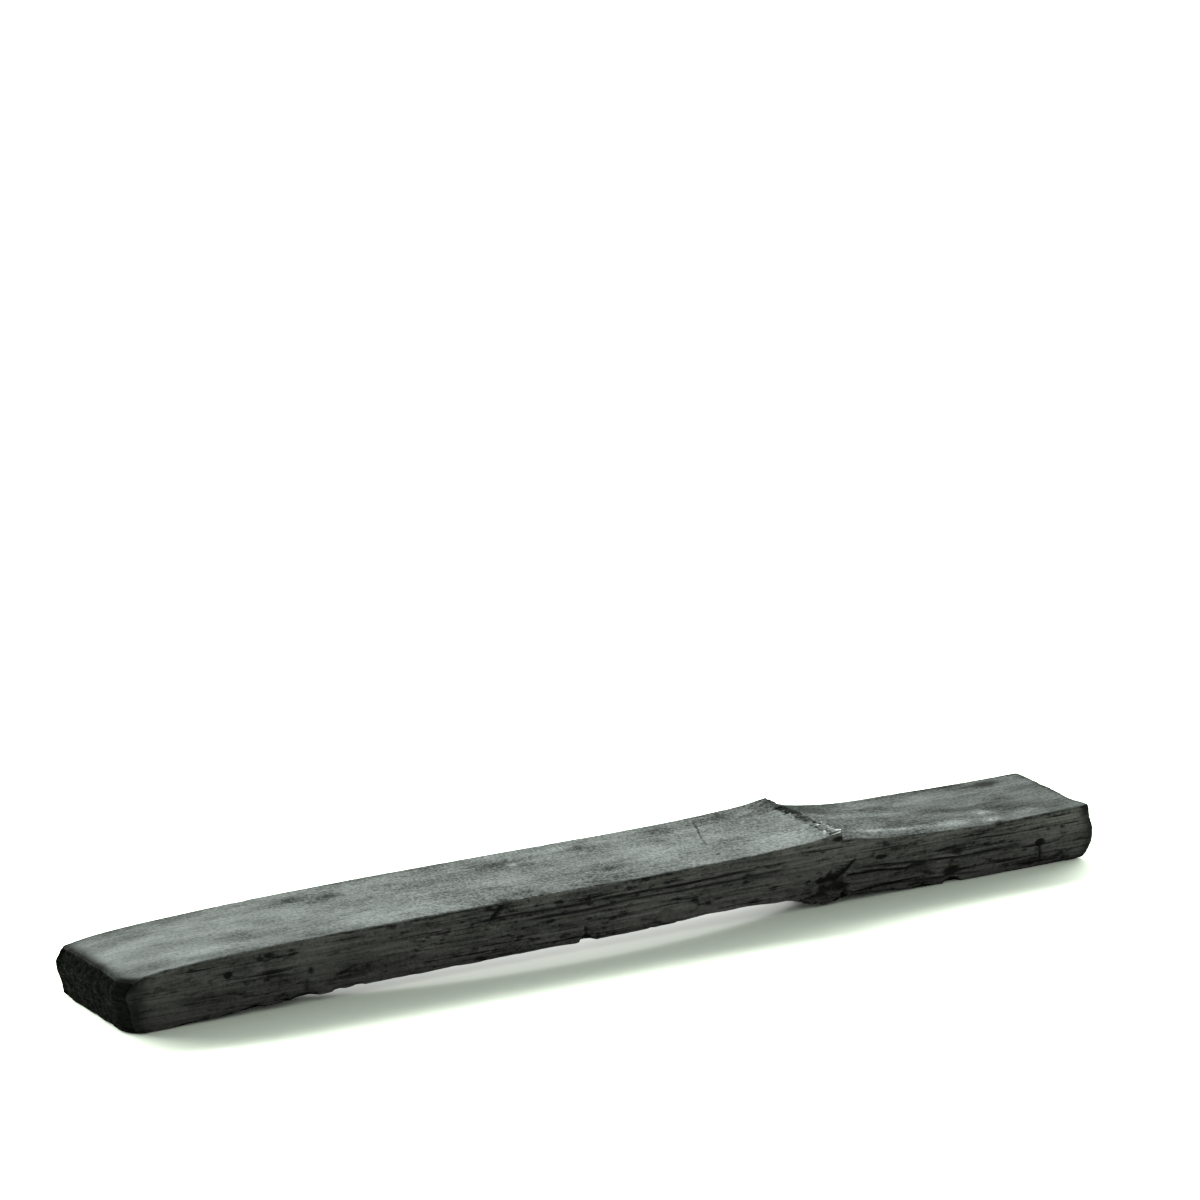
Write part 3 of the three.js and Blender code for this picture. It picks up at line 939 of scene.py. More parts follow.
    def build(self, finishes: dict[Surface, bpy.types.Material]) -> bpy.types.Object:
        """Makes the strip's mesh and dresses it.

        Args:
            finishes: the material of each surface.

        Returns:
            The strip's object, at the origin.
        """
        box = self.divided_box()
        mesh = bpy.data.meshes.new(self.name)
        box.to_mesh(mesh)
        box.free()
        count = len(mesh.vertices)
        flat = np.empty(count * 3, np.float32)
        mesh.vertices.foreach_get("co", flat)
        along, across, up = flat.reshape(-1, 3).astype(float).T
        points, shade_and_soot = self.surface(along, across, up)
        points[:, :2] -= (points[:, :2].min(axis=0) + points[:, :2].max(axis=0)) / 2
        points = np.clip(points, *(np.array(corner) / MM for corner in CAD_BOX))
        y = across * self.form.width / 2
        self.paint(mesh, "shade_and_soot", shade_and_soot)
        self.paint(mesh, "stain", marked(STAINS, along, y))
        self.paint(mesh, "ash_and_highlight", self.ash_and_highlight(along, across, up))
        self.paint(mesh, "silver", self.relief.silver_fibres(along, y) * (up > 0.99))
        self.paint(mesh, "upper", smoothstep(along, self.form.scar_x - 1.0, self.form.scar_x + 1.0))
        for surface in Surface:
            mesh.materials.append(finishes[surface])
        self.assign(mesh, along, across, up)
        mesh.vertices.foreach_set("co", (points * MM).astype(np.float32).ravel())
        mesh.polygons.foreach_set("use_smooth", np.ones(len(mesh.polygons), bool))
        mesh.update()
        return bpy.data.objects.new(self.name, mesh)

    def ash_and_highlight(self, along: Array, across: Array, up: Array) -> Array:
        """Pale ash: smudges on the skin, and a thin pale line along its edges, partly where they are rubbed
        and partly a painted highlight.

        Args:
            along: place along the strip, in millimetres.
            across: place across it, as a share of the half width.
            up: place up the wall, as a share of its height.

        Returns:
            The ash and painted highlight at each place, from 0 to 1.
        """
        y = across * self.form.width / 2
        smudges = marked(SMUDGES, along, y)
        from_edge = self.form.width / 2 - np.abs(y) + (1.0 - up) * self.form.wall
        patches = smoothstep(fractal(along / 7.0, across, 0.0, 97), 0.35, 0.65)
        height = self.form.pith_height(along, y) + up * self.form.wall
        _, lips = crack_cut(NEAR_CRACKS, along, height)
        lip_ash = 0.7 * np.clip(lips / 0.08, 0.0, 1.0) * (across < -0.99)
        lip_ash *= smoothstep(fractal(along / 1.8, height, 0.0, 99, 2), 0.42, 0.62)
        # Painted highlight, with wear: a thin pale line along the skin's long edges.
        edge_wear_and_highlight = 0.6 * np.exp(-from_edge / 0.12) * patches
        return np.maximum(np.maximum(smudges * (up > 0.99), lip_ash), edge_wear_and_highlight)

    @staticmethod
    def paint(mesh: bpy.types.Mesh, name: str, values: Array) -> None:
        """Keeps a value for each point as an attribute of the mesh."""
        attribute = mesh.attributes.new(name, "FLOAT", "POINT")
        attribute.data.foreach_set("value", values.astype(np.float32))

    def assign(self, mesh: bpy.types.Mesh, along: Array, across: Array, up: Array) -> None:
        """Gives each face the finish of the surface that it lies on.

        Args:
            mesh: the mesh, still a straight box.
            along: place of each point along the strip, in millimetres.
            across: place of each point across it, as a share of the half width.
            up: place of each point up the wall, as a share of its height.
        """
        y = across * self.form.width / 2
        past_scar = along - self.form.scar_x - self.relief.ragged_scar(y)
        comb = self.relief.scar_comb(along, y)
        kinds = np.zeros(len(mesh.polygons), np.int32)
        for number, face in enumerate(mesh.polygons):
            members = list(face.vertices)
            if np.ptp(along[members]) < self.box_tolerance or np.all(up[members] < self.box_tolerance):
                kinds[number] = Surface.TORN.value
            elif np.all(up[members] > 1.0 - self.box_tolerance):
                # The drop behind the scar takes the near-black torn finish for its torn fibre and as painted
                # shade; the comb's gaps take it as painted shade.
                dropping = -0.05 < past_scar[members].mean() < self.form.scar_run + 0.1
                gap = comb[members].mean() > self.gap_share
                kinds[number] = Surface.TORN.value if dropping or gap else Surface.CUTICLE.value
            else:
                kinds[number] = Surface.SPLIT.value
        mesh.polygons.foreach_set("material_index", kinds)


class ScarFringe:
    """The fringe of snapped sheath fibres that stands along the scar."""

    name = "scar_fringe"
    seed = 7
    count = 110
    sides = 5
    bends = 3
    thick = (0.035, 0.09)
    root = (0.4, 1.9)
    reach = (-0.3, 0.15)
    lift = (-0.08, 0.06)
    sway = 0.2
    tip_share = (0.25, 0.6)
    bright_from = 1.0
    bright_run = 6.5
    # Bold fibres: place across, thickness, root behind the scar, and reach past it
    bold = (
        (-9.0, 0.2, 1.9, 0.15),
        (-8.5, 0.16, 1.3, 0.1),
        (-7.9, 0.12, 1.2, 0.1),
        (-7.2, 0.1, 1.0, 0.1),
        (-6.5, 0.09, 0.9, 0.1),
        (-5.6, 0.08, 1.0, 0.0),
        (-4.4, 0.12, 1.9, -0.6),
    )

    def __init__(self, form: CulmForm, relief: CharRelief) -> None:
        """Keeps the form and relief that the fringe grows on."""
        self.form = form
        self.relief = relief

    def places(self, draw: random.Random) -> list[tuple[float, float, float, float]]:
        """Place across, thickness, root and reach of each fibre, in millimetres."""
        half = self.form.width / 2 - 0.35
        made = list(self.bold)
        for number in range(self.count):
            y = -half + 2 * half * (number + draw.uniform(0.1, 0.9)) / self.count
            made.append((y, draw.uniform(*self.thick), draw.uniform(*self.root), draw.uniform(*self.reach)))
        return made

    def fibre(
        self, fringe: bmesh.types.BMesh, place: tuple[float, float, float, float], draw: random.Random,
    ) -> list[bmesh.types.BMVert]:
        """Adds one snapped fibre, lying along the skin with its tip near the scar.

        Args:
            fringe: the mesh that the fibre joins.
            place: the fibre's place across the strip, thickness, root and reach, in millimetres.
            draw: the fringe's random numbers.

        Returns:
            The fibre's points.
        """
        y, thick, back, reach = place
        lift = draw.uniform(*self.lift)
        sway = draw.uniform(-self.sway, self.sway)
        before = len(fringe.verts)
        made = bmesh.ops.create_cone(
            fringe, segments=self.sides, radius1=1.0, radius2=draw.uniform(*self.tip_share), depth=1.0,
            cap_ends=True,
        )
        linked = {edge for vert in made["verts"] for edge in vert.link_edges}
        lengthwise = [edge for edge in linked if abs(edge.verts[0].co.z - edge.verts[1].co.z) > 0.5]
        bmesh.ops.subdivide_edges(fringe, edges=lengthwise, cuts=self.bends, use_grid_fill=True)
        verts = list(fringe.verts)[before:]
        ragged = float(self.relief.ragged_scar(np.array([y]))[0])
        offset = float(self.form.scar_offset(np.array([self.form.scar_x]), np.array([y]))[0])
        scar = self.form.scar_x + ragged - offset
        for vert in verts:
            share = vert.co.z + 0.5
            x = scar - back + share * (back + reach)
            on_skin = min(x, scar, self.form.scar_x)
            skin = float(self.form.skin_height(np.array([on_skin]), np.array([y]))[0])
            rise = lift * share**3 - 0.04 + thick * 0.55
            top = min(skin + rise + vert.co.y * thick * 0.8, CAD_BOX[1][2] / MM)
            vert.co = (x, y + sway * share**2 + vert.co.x * thick, top)
        return verts

    def build(self, finish: bpy.types.Material) -> bpy.types.Object:
        """Makes the fringe's mesh and dresses it.

        Args:
            finish: the material of the fibres.

        Returns:
            The fringe's object, at the origin.
        """
        draw = random.Random(self.seed)
        fringe = bmesh.new()
        tip = fringe.verts.layers.float.new("tip")
        for place in self.places(draw):
            verts = self.fibre(fringe, place, draw)
            near = min(1.0, max(0.0, (self.bright_from - place[0]) / self.bright_run))
            bright = draw.uniform(0.6, 1.0) * near
            ends = [v.co.x for v in verts]
            for vert in verts:
                vert[tip] = bright * ((vert.co.x - min(ends)) / (max(ends) - min(ends))) ** 0.5
        bmesh.ops.recalc_face_normals(fringe, faces=fringe.faces)
        bmesh.ops.scale(fringe, vec=(MM, MM, MM), verts=fringe.verts)
        mesh = bpy.data.meshes.new(self.name)
        fringe.to_mesh(mesh)
        fringe.free()
        mesh.materials.append(finish)
        mesh.polygons.foreach_set("use_smooth", np.ones(len(mesh.polygons), bool))
        return bpy.data.objects.new(self.name, mesh)


class NodeGraph:
    """Wires the nodes of one material or node group."""

    def __init__(self, tree: bpy.types.NodeTree) -> None:
        """Starts on an empty tree."""
        self.tree = tree
        tree.nodes.clear()

    def node(self, kind: str, settings: dict | None = None, **inputs: object) -> bpy.types.Node:
        """Adds a node.

        Args:
            kind: the node's type.
            settings: values of the node's own properties.
            inputs: what feeds each input, a socket or a plain value, by the input's name.

        Returns:
            The node.
        """
        made = self.tree.nodes.new(kind)
        for name, value in (settings or {}).items():
            setattr(made, name, value)
        for name, value in inputs.items():
            self.feed(made.inputs[name.replace("_", " ")], value)
        return made

    def feed(self, socket: bpy.types.NodeSocket, value: object) -> None:
        """Links a socket into an input, or sets the input to a plain value."""
        if isinstance(value, bpy.types.NodeSocket):
            self.tree.links.new(value, socket)
        else:
            socket.default_value = value

    def sum_of(self, operation: str, first: object, second: object) -> bpy.types.NodeSocket:
        """Works out one sum of two numbers."""
        made = self.node("ShaderNodeMath", {"operation": operation})
        self.feed(made.inputs[0], first)
        self.feed(made.inputs[1], second)
        return made.outputs[0]

    def remap(
        self, value: object, low: float, high: float, to_low: float, to_high: float,
    ) -> bpy.types.NodeSocket:
        """Maps a range of numbers to another, and holds it there."""
        made = self.node("ShaderNodeMapRange", Value=value)
        for name, number in zip(("From Min", "From Max", "To Min", "To Max"), (low, high, to_low, to_high)):
            made.inputs[name].default_value = number
        return made.outputs["Result"]

    def blend(self, share: object, first: object, second: object) -> bpy.types.NodeSocket:
        """Mixes two colours."""
        made = self.node("ShaderNodeMix", {"data_type": "RGBA"})
        self.feed(made.inputs[0], share)
        self.feed(made.inputs[6], first)
        self.feed(made.inputs[7], second)
        return made.outputs[2]

    def noise(self, vector: object, scale: object, detail: float = 2.0) -> bpy.types.NodeSocket:
        """Noise of a scale, in grains a metre."""
        made = self.node("ShaderNodeTexNoise", Vector=vector, Scale=scale, Detail=detail)
        return made.outputs[0]

    def stretched(self, vector: object, scale: tuple[float, float, float]) -> bpy.types.NodeSocket:
        """Stretches a pattern's coordinates."""
        return self.node("ShaderNodeMapping", Vector=vector, Scale=scale).outputs[0]

    def group(self, tree: bpy.types.NodeTree, **inputs: object) -> bpy.types.NodeSocket:
        """Adds a node group, and gives its first output."""
        return self.node("ShaderNodeGroup", {"node_tree": tree}, **inputs).outputs[0]

    def attribute(self, name: str) -> bpy.types.NodeSocket:
        """Reads a value that the mesh keeps for each point."""
        return self.node("ShaderNodeAttribute", {"attribute_name": name}).outputs["Fac"]


class CharPatterns:
    """Node groups that the finishes share."""

    shade_and_soot_cover = 0.98
    shade_and_soot_colour: Colour = (0.0025, 0.0027, 0.0024, 1.0)

    def __init__(self) -> None:
        """Builds each group once."""
        self.grit = self.build_grit()
        self.fibre = self.build_fibre()
        self.shade_and_soot = self.build_shade_and_soot()

    @staticmethod
    def begin(
        name: str, inputs: dict[str, str], outputs: dict[str, str],
    ) -> tuple[NodeGraph, bpy.types.Node, bpy.types.Node]:
        """Starts a node group.

        Args:
            name: the group's name.
            inputs: type of each input socket, by name.
            outputs: type of each output socket, by name.

        Returns:
            The group's graph, and its input and output nodes.
        """
        tree = bpy.data.node_groups.new(name, "ShaderNodeTree")
        for socket, kind in inputs.items():
            tree.interface.new_socket(name=socket, in_out="INPUT", socket_type=kind)
        for socket, kind in outputs.items():
            tree.interface.new_socket(name=socket, in_out="OUTPUT", socket_type=kind)
        graph = NodeGraph(tree)
        return graph, graph.node("NodeGroupInput"), graph.node("NodeGroupOutput")

    def build_grit(self) -> bpy.types.NodeTree:
        """Sandy grit: grains of char, each a little paler or darker than the next."""
        graph, given, result = self.begin(
            "char_grit",
            {"Vector": "NodeSocketVector", "Scale": "NodeSocketFloat"},
            {"Grain": "NodeSocketFloat"},
        )
        place = given.outputs["Vector"]
        scale = given.outputs["Scale"]
        coarse = graph.noise(place, scale, 3.0)
        cells = graph.node("ShaderNodeTexVoronoi", Vector=place, Scale=scale)
        shade = graph.node("ShaderNodeSeparateColor", Color=cells.outputs["Color"])
        speckle = graph.sum_of("MULTIPLY", shade.outputs[0], 0.35)
        mixed = graph.sum_of("ADD", speckle, graph.remap(coarse, 0.3, 0.7, 0.0, 0.65))
        graph.feed(result.inputs["Grain"], mixed)
        return graph.tree

    def build_fibre(self) -> bpy.types.NodeTree:
        """Fibre lines that run along the strip, thick and thin."""
        graph, given, result = self.begin(
            "fibre_lines",
            {"Vector": "NodeSocketVector", "Length": "NodeSocketFloat", "Width": "NodeSocketFloat"},
            {"Line": "NodeSocketFloat"},
        )
        along = graph.sum_of("DIVIDE", 1.0, given.outputs["Length"])
        across = graph.sum_of("DIVIDE", 1.0, given.outputs["Width"])
        scale = graph.node("ShaderNodeCombineXYZ", X=along, Y=across, Z=across)
        place = graph.node("ShaderNodeVectorMath", {"operation": "MULTIPLY"})
        graph.feed(place.inputs[0], given.outputs["Vector"])
        graph.feed(place.inputs[1], scale.outputs[0])
        lines = graph.noise(place.outputs[0], 1.0, 3.0)
        graph.feed(result.inputs["Line"], graph.remap(lines, 0.3, 0.7, 0.0, 1.0))
        return graph.tree

    def build_shade_and_soot(self) -> bpy.types.NodeTree:
        """Soot and painted shade that blacken hollows, and ash that greys what is rubbed, with a painted
        highlight along the edges.
        """
        graph, given, result = self.begin(
            "shade_soot_ash_and_highlight",
            {
                "Colour": "NodeSocketColor",
                "Soot": "NodeSocketFloat",
                "Ash": "NodeSocketFloat",
                "Ash colour": "NodeSocketColor",
                "Break": "NodeSocketFloat",
            },
            {"Colour": "NodeSocketColor"},
        )
        patchy = graph.remap(given.outputs["Break"], 0.2, 0.7, 0.45, 1.3)
        # Ash, with the painted highlight along the edges, greys the colour.
        ash_and_highlight = graph.sum_of("MULTIPLY", given.outputs["Ash"], patchy)
        greyed = graph.blend(ash_and_highlight, given.outputs["Colour"], given.outputs["Ash colour"])
        # Painted shade: the hollows, with the soot, are blended towards near black.
        share = graph.remap(given.outputs["Soot"], 0.0, 1.0, 0.0, self.shade_and_soot_cover)
        black = graph.blend(share, greyed, self.shade_and_soot_colour)
        graph.feed(result.inputs["Colour"], black)
        return graph.tree


@dataclass(frozen=True)
class Finish:
    """What the char finishes have in common."""

    name: str
    dark: Colour
    pale: Colour
    ash_and_highlight: Colour
    grit_scale: float
    relief: float
    gloss: float

    def begin(self) -> tuple[bpy.types.Material, NodeGraph, bpy.types.NodeSocket]:
        """Starts the finish's material.

        Returns:
            The material, its graph, and the place on the piece.
        """
        material = bpy.data.materials.new(self.name)
        material.use_nodes = True
        graph = NodeGraph(material.node_tree)
        return material, graph, graph.node("ShaderNodeTexCoord").outputs["Object"]

    def shaded_and_sooted(
        self, graph: NodeGraph, patterns: CharPatterns, colour: object, grit: object,
    ) -> bpy.types.NodeSocket:
        """Lays the soot and painted shade, and the ash and painted highlight, that the mesh keeps on a
        colour.

        Args:
            graph: the material's graph.
            patterns: the shared node groups.
            colour: the colour below.
            grit: the grit that breaks up the ash and painted highlight.

        Returns:
            The colour with the soot, painted shade, ash and painted highlight on it.
        """
        return graph.group(
            patterns.shade_and_soot, Colour=colour, Soot=graph.attribute("shade_and_soot"), Ash=graph.attribute("ash_and_highlight"),
            Ash_colour=self.ash_and_highlight, Break=grit,
        )

    def end(self, graph: NodeGraph, colour: object, rough: object, height: object) -> None:
        """Closes the material with its shader.

        Args:
            graph: the material's graph.
            colour: what feeds the base colour.
            rough: what feeds the roughness.
            height: the fine relief, from 0 to 1.
        """
        bump = graph.node("ShaderNodeBump", Height=height, Distance=self.relief, Strength=1.0)
        shader = graph.node("ShaderNodeBsdfPrincipled", Base_Color=colour, Roughness=rough)
        graph.feed(shader.inputs["Normal"], bump.outputs[0])
        shader.inputs["Specular IOR Level"].default_value = self.gloss
        output = graph.node("ShaderNodeOutputMaterial")
        graph.feed(output.inputs["Surface"], shader.outputs[0])


@dataclass(frozen=True)
class CuticleFinish(Finish):
    """The culm's charred skin: fine grit on a smooth, faintly streaked grey."""

    name: str = "charred_cuticle"
    dark: Colour = (0.008, 0.009, 0.0085, 1.0)
    pale: Colour = (0.103, 0.109, 0.106, 1.0)
    ash_and_highlight: Colour = (0.18, 0.19, 0.185, 1.0)
    silver: Colour = (0.29, 0.31, 0.3, 1.0)
    grit_scale: float = 2700.0
    relief: float = 0.00006
    gloss: float = 0.1

    def material(self, patterns: CharPatterns) -> bpy.types.Material:
        """Builds the material."""
        material, graph, place = self.begin()
        grit = graph.group(patterns.grit, Vector=place, Scale=self.grit_scale)
        lines = graph.group(patterns.fibre, Vector=place, Length=0.009, Width=0.0006)
        cloud = graph.noise(graph.stretched(place, (0.45, 1.0, 1.0)), 260.0, 5.0)
        broad = graph.noise(graph.stretched(place, (0.5, 1.0, 1.0)), 75.0, 2.0)
        spot = graph.node("ShaderNodeSeparateXYZ", Vector=place)
        coarse = graph.remap(spot.outputs[0], -0.074, -0.02, 0.4, 1.0)
        coarse = graph.sum_of("MULTIPLY", coarse, graph.remap(spot.outputs[0], 0.036, 0.06, 1.0, 0.5))
        sand = graph.sum_of("MULTIPLY", graph.remap(grit, 0.1, 0.9, -0.37, 0.37), coarse)
        tone = graph.sum_of("ADD", graph.remap(cloud, 0.3, 0.7, 0.28, 0.72), sand)
        tone = graph.sum_of("SUBTRACT", tone, graph.remap(spot.outputs[1], 0.0062, 0.0096, 0.0, 0.18))
        tone = graph.sum_of("ADD", tone, graph.remap(lines, 0.0, 1.0, -0.09, 0.09))
        tone = graph.sum_of("ADD", tone, graph.remap(broad, 0.3, 0.7, -0.12, 0.12))
        stain = graph.sum_of("MULTIPLY", graph.attribute("stain"), graph.remap(cloud, 0.3, 0.7, 1.3, 0.7))
        tone = graph.sum_of("SUBTRACT", tone, graph.sum_of("MULTIPLY", stain, 0.75))
        tone = graph.sum_of("SUBTRACT", tone, graph.remap(graph.attribute("upper"), 0.0, 1.0, 0.0, 0.26))
        colour = graph.blend(graph.remap(tone, 0.0, 1.0, 0.0, 1.0), self.dark, self.pale)
        shade_and_soot = self.shaded_and_sooted(graph, patterns, colour, grit)
        silvered = graph.blend(graph.attribute("silver"), shade_and_soot, self.silver)
        rough = graph.remap(tone, 0.0, 1.0, 0.7, 0.5)
        sandy = graph.sum_of("MULTIPLY", grit, 0.8)
        height = graph.sum_of("ADD", sandy, graph.sum_of("MULTIPLY", lines, 0.4))
        self.end(graph, silvered, rough, height)
        return material


@dataclass(frozen=True)
class SplitFinish(Finish):
    """The long split sides: dull black fibre with fine lines along it."""

    name: str = "split_fibre"
    dark: Colour = (0.002, 0.0021, 0.0019, 1.0)
    pale: Colour = (0.088, 0.084, 0.081, 1.0)
    ash_and_highlight: Colour = (0.09, 0.095, 0.09, 1.0)
    grit_scale: float = 3000.0
    relief: float = 0.00007
    gloss: float = 0.08

    def material(self, patterns: CharPatterns) -> bpy.types.Material:
        """Builds the material."""
        material, graph, place = self.begin()
        grit = graph.group(patterns.grit, Vector=place, Scale=self.grit_scale)
        fine = graph.group(patterns.fibre, Vector=place, Length=0.009, Width=0.00026)
        bold = graph.group(patterns.fibre, Vector=place, Length=0.03, Width=0.0008)
        cloud = graph.noise(graph.stretched(place, (0.35, 1.0, 1.0)), 260.0, 4.0)
        tone = graph.remap(fine, 0.0, 1.0, 0.0, 0.42)
        tone = graph.sum_of("ADD", tone, graph.remap(bold, 0.0, 1.0, 0.06, 0.24))
        tone = graph.sum_of("ADD", tone, graph.remap(cloud, 0.3, 0.7, -0.1, 0.16))
        tone = graph.sum_of("ADD", tone, graph.remap(grit, 0.0, 1.0, -0.1, 0.2))
        burnt = graph.noise(graph.stretched(place, (0.45, 1.0, 1.0)), 380.0, 4.0)
        tone = graph.sum_of("SUBTRACT", tone, graph.remap(burnt, 0.52, 0.7, 0.0, 0.22))
        specks = graph.noise(graph.stretched(place, (0.35, 1.0, 1.0)), 1500.0, 3.0)
        tone = graph.sum_of("SUBTRACT", tone, graph.remap(specks, 0.56, 0.68, -0.04, 0.3))
        seams = graph.group(patterns.fibre, Vector=place, Length=0.016, Width=0.0005)
        tone = graph.sum_of("SUBTRACT", tone, graph.remap(seams, 0.76, 0.9, 0.0, 0.5))
        spot = graph.node("ShaderNodeSeparateXYZ", Vector=place)
        tone = graph.sum_of("ADD", tone, graph.remap(spot.outputs[0], -0.03, 0.01, -0.5, -0.39))
        tone = graph.sum_of("ADD", tone, graph.remap(spot.outputs[0], 0.05, 0.074, 0.0, -0.11))
        tone = graph.sum_of("MULTIPLY", tone, graph.remap(spot.outputs[0], -0.077, -0.02, 0.5, 1.0))
        colour = graph.blend(graph.remap(tone, -0.36, 0.36, 0.0, 1.0), self.dark, self.pale)
        # Painted shade: the far side is blended towards the dark colour, to keep it dark where the key light
        # falls on it from behind.
        colour = graph.blend(graph.remap(spot.outputs[1], -0.004, 0.004, 0.0, 0.8), colour, self.dark)
        shade_and_soot = self.shaded_and_sooted(graph, patterns, colour, grit)
        rough = graph.remap(tone, -0.5, 0.5, 0.85, 0.55)
        fibrous = graph.sum_of("MULTIPLY", fine, 0.6)
        height = graph.sum_of("ADD", fibrous, graph.sum_of("MULTIPLY", grit, 0.35))
        self.end(graph, shade_and_soot, rough, height)
        return material


@dataclass(frozen=True)
class TornFinish(Finish):
    """Snapped ends, the pith side and the drop behind the scar: deep, porous black, which on the drop and in
    the scar's comb gaps also stands for painted shade.
    """

    name: str = "torn_char"
    dark: Colour = (0.0012, 0.0013, 0.0011, 1.0)
    pale: Colour = (0.0065, 0.007, 0.0062, 1.0)
    ash_and_highlight: Colour = (0.06, 0.063, 0.06, 1.0)
    grit_scale: float = 2200.0
    relief: float = 0.00016
    gloss: float = 0.05

    def material(self, patterns: CharPatterns) -> bpy.types.Material:
        """Builds the material."""
        material, graph, place = self.begin()
        grit = graph.group(patterns.grit, Vector=place, Scale=self.grit_scale)
        cloud = graph.noise(place, 500.0, 4.0)
        tone = graph.remap(grit, 0.0, 1.0, 0.0, 0.6)
        tone = graph.sum_of("ADD", tone, graph.remap(cloud, 0.3, 0.7, -0.1, 0.35))
        colour = graph.blend(graph.remap(tone, 0.0, 1.0, 0.0, 1.0), self.dark, self.pale)
        shade_and_soot = self.shaded_and_sooted(graph, patterns, colour, grit)
        self.end(graph, shade_and_soot, graph.remap(tone, 0.0, 1.0, 1.0, 0.85), grit)
        return material


@dataclass(frozen=True)
class FringeFinish(Finish):
    """Snapped sheath fibres, dark at the root and silvery at the tip."""

    name: str = "silvery_fibre"
    dark: Colour = (0.022, 0.024, 0.023, 1.0)
    pale: Colour = (0.46, 0.49, 0.48, 1.0)
    ash_and_highlight: Colour = (0.3, 0.32, 0.31, 1.0)
    grit_scale: float = 5200.0
    relief: float = 0.00002
    gloss: float = 0.5

    def material(self, patterns: CharPatterns) -> bpy.types.Material:
        """Builds the material."""
        material, graph, place = self.begin()
        grit = graph.group(patterns.grit, Vector=place, Scale=self.grit_scale)
        tip = graph.sum_of("MULTIPLY", graph.attribute("tip"), graph.remap(grit, 0.0, 1.0, 0.5, 1.2))
        colour = graph.blend(graph.remap(tip, 0.0, 1.0, 0.0, 1.0), self.dark, self.pale)
        self.end(graph, colour, graph.remap(tip, 0.0, 1.0, 0.6, 0.38), grit)
        return material


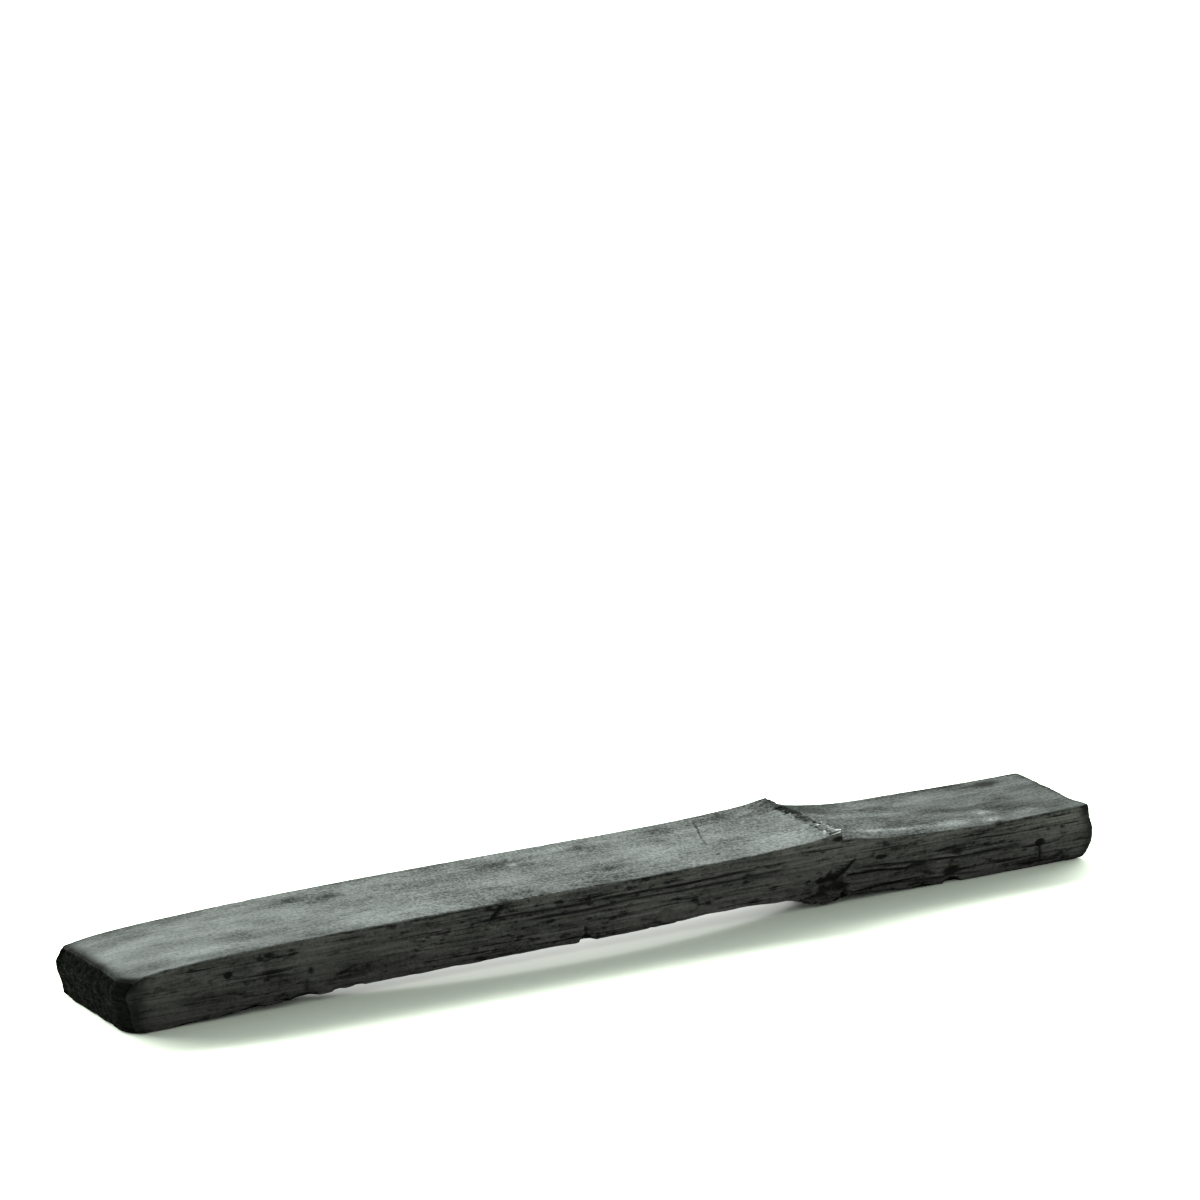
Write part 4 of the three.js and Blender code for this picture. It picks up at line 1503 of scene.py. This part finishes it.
@dataclass(frozen=True)
class Studio:
    """A plain pale floor, soft light from above and behind, and the photograph's camera."""

    camera_place: tuple[float, float, float] = (-0.3276, -0.5672, 0.2206)
    yaw: float = 30.06
    pitch: float = 14.92
    lens: float = 100.2
    sensor: float = 24.0
    clip_start: float = 0.01
    floor_size: float = 6.0
    floor_colour: Colour = (0.81, 0.86, 0.76, 1.0)
    floor_rough: float = 0.9
    floor_gloss: float = 0.1
    light_tint: tuple[float, float, float] = (0.945, 1.0, 0.955)
    world_strength: float = 0.55
    key_place: tuple[float, float, float] = (0.2, 1.05, 0.5)
    key_size: tuple[float, float] = (6.0, 0.75)
    key_power: float = 400.0
    glow_place: tuple[float, float, float] = (-0.01, -0.0003, 0.00085)
    glow_long: float = 0.088
    glow_wide: tuple[float, ...] = (0.0115, 0.015, 0.0185, 0.022, 0.0255)
    glow_power: float = 0.0022
    glow_tint: tuple[float, float, float] = (1.0, 0.97, 1.04)

    def place_camera(self) -> None:
        """Sets the camera at the photograph's view."""
        data = bpy.data.cameras.new("camera")
        data.lens = self.lens
        data.sensor_width = self.sensor
        data.clip_start = self.clip_start
        camera = bpy.data.objects.new("camera", data)
        camera.location = self.camera_place
        camera.rotation_euler = (math.radians(90.0 - self.pitch), 0.0, math.radians(-self.yaw))
        bpy.context.scene.collection.objects.link(camera)
        bpy.context.scene.camera = camera

    def lay_floor(self) -> bpy.types.Object:
        """Lays the pale floor under the strip.

        Returns:
            The floor's object.
        """
        sheet = bmesh.new()
        bmesh.ops.create_grid(sheet, x_segments=1, y_segments=1, size=self.floor_size / 2)
        mesh = bpy.data.meshes.new("floor")
        sheet.to_mesh(mesh)
        sheet.free()
        material = bpy.data.materials.new("pale_floor")
        material.use_nodes = True
        shader = material.node_tree.nodes["Principled BSDF"]
        shader.inputs["Base Color"].default_value = self.floor_colour
        shader.inputs["Roughness"].default_value = self.floor_rough
        shader.inputs["Specular IOR Level"].default_value = self.floor_gloss
        mesh.materials.append(material)
        floor = bpy.data.objects.new("floor", mesh)
        bpy.context.scene.collection.objects.link(floor)
        return floor

    def set_lights(self) -> None:
        """Hangs the soft light behind the strip, and sets the room's light and the glow under the arch."""
        world = bpy.data.worlds.new("room")
        world.use_nodes = True
        background = world.node_tree.nodes["Background"]
        background.inputs["Color"].default_value = (*self.light_tint, 1.0)
        background.inputs["Strength"].default_value = self.world_strength
        bpy.context.scene.world = world
        key = self.hang("key", self.key_place, self.key_size, self.key_power, Vector((0.0, 0.0, 0.0)))
        key.visible_glossy = False
        below = Vector((self.glow_place[0], self.glow_place[1], -1.0))
        for wide in self.glow_wide:
            glow = self.hang("glow", self.glow_place, (self.glow_long, wide), self.glow_power, below)
            glow.data.shape = "ELLIPSE"
            glow.data.color = self.glow_tint
        bpy.context.scene.view_settings.view_transform = "Standard"

    def hang(
        self, name: str, place: tuple[float, float, float], size: tuple[float, float], power: float,
        target: Vector,
    ) -> bpy.types.Object:
        """Hangs a rectangular light that the camera doesn't see.

        Args:
            name: the light's name.
            place: its middle.
            size: its width and its height.
            power: its power in watts.
            target: the point that it faces.

        Returns:
            The light's object.
        """
        data = bpy.data.lights.new(name, "AREA")
        data.shape = "RECTANGLE"
        data.size, data.size_y = size
        data.energy = power
        data.color = self.light_tint
        light = bpy.data.objects.new(name, data)
        light.location = place
        light.rotation_euler = (target - Vector(place)).to_track_quat("-Z", "Y").to_euler()
        light.visible_camera = False
        bpy.context.scene.collection.objects.link(light)
        return light


def seat(piece: bpy.types.Object) -> bpy.types.Object:
    """Puts a piece in the scene, on the strip's body.

    Args:
        piece: the piece, at the origin.

    Returns:
        The piece.
    """
    bpy.context.scene.collection.objects.link(piece)
    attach(piece, STRIP_BODY)
    piece.data.calc_loop_triangles()
    LOG.info("%s: %d triangles", piece.name, len(piece.data.loop_triangles))
    return piece


def main() -> None:
    """Builds the studio, the strip and its fringe."""
    logging.basicConfig(level=logging.INFO, format="%(name)s: %(message)s")
    studio = Studio()
    studio.place_camera()
    studio.lay_floor()
    studio.set_lights()

    form = CulmForm()
    patterns = CharPatterns()
    finishes = {
        Surface.CUTICLE: CuticleFinish().material(patterns),
        Surface.SPLIT: SplitFinish().material(patterns),
        Surface.TORN: TornFinish().material(patterns),
    }
    relief = CharRelief(form)
    strip = seat(CharredStrip(form, BrokenEnds(), relief, SurfaceGrid(form)).build(finishes))
    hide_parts(STRIP_NODE)
    seat(ScarFringe(form, relief).build(FringeFinish().material(patterns)))


if __name__ == "__main__":
    main()
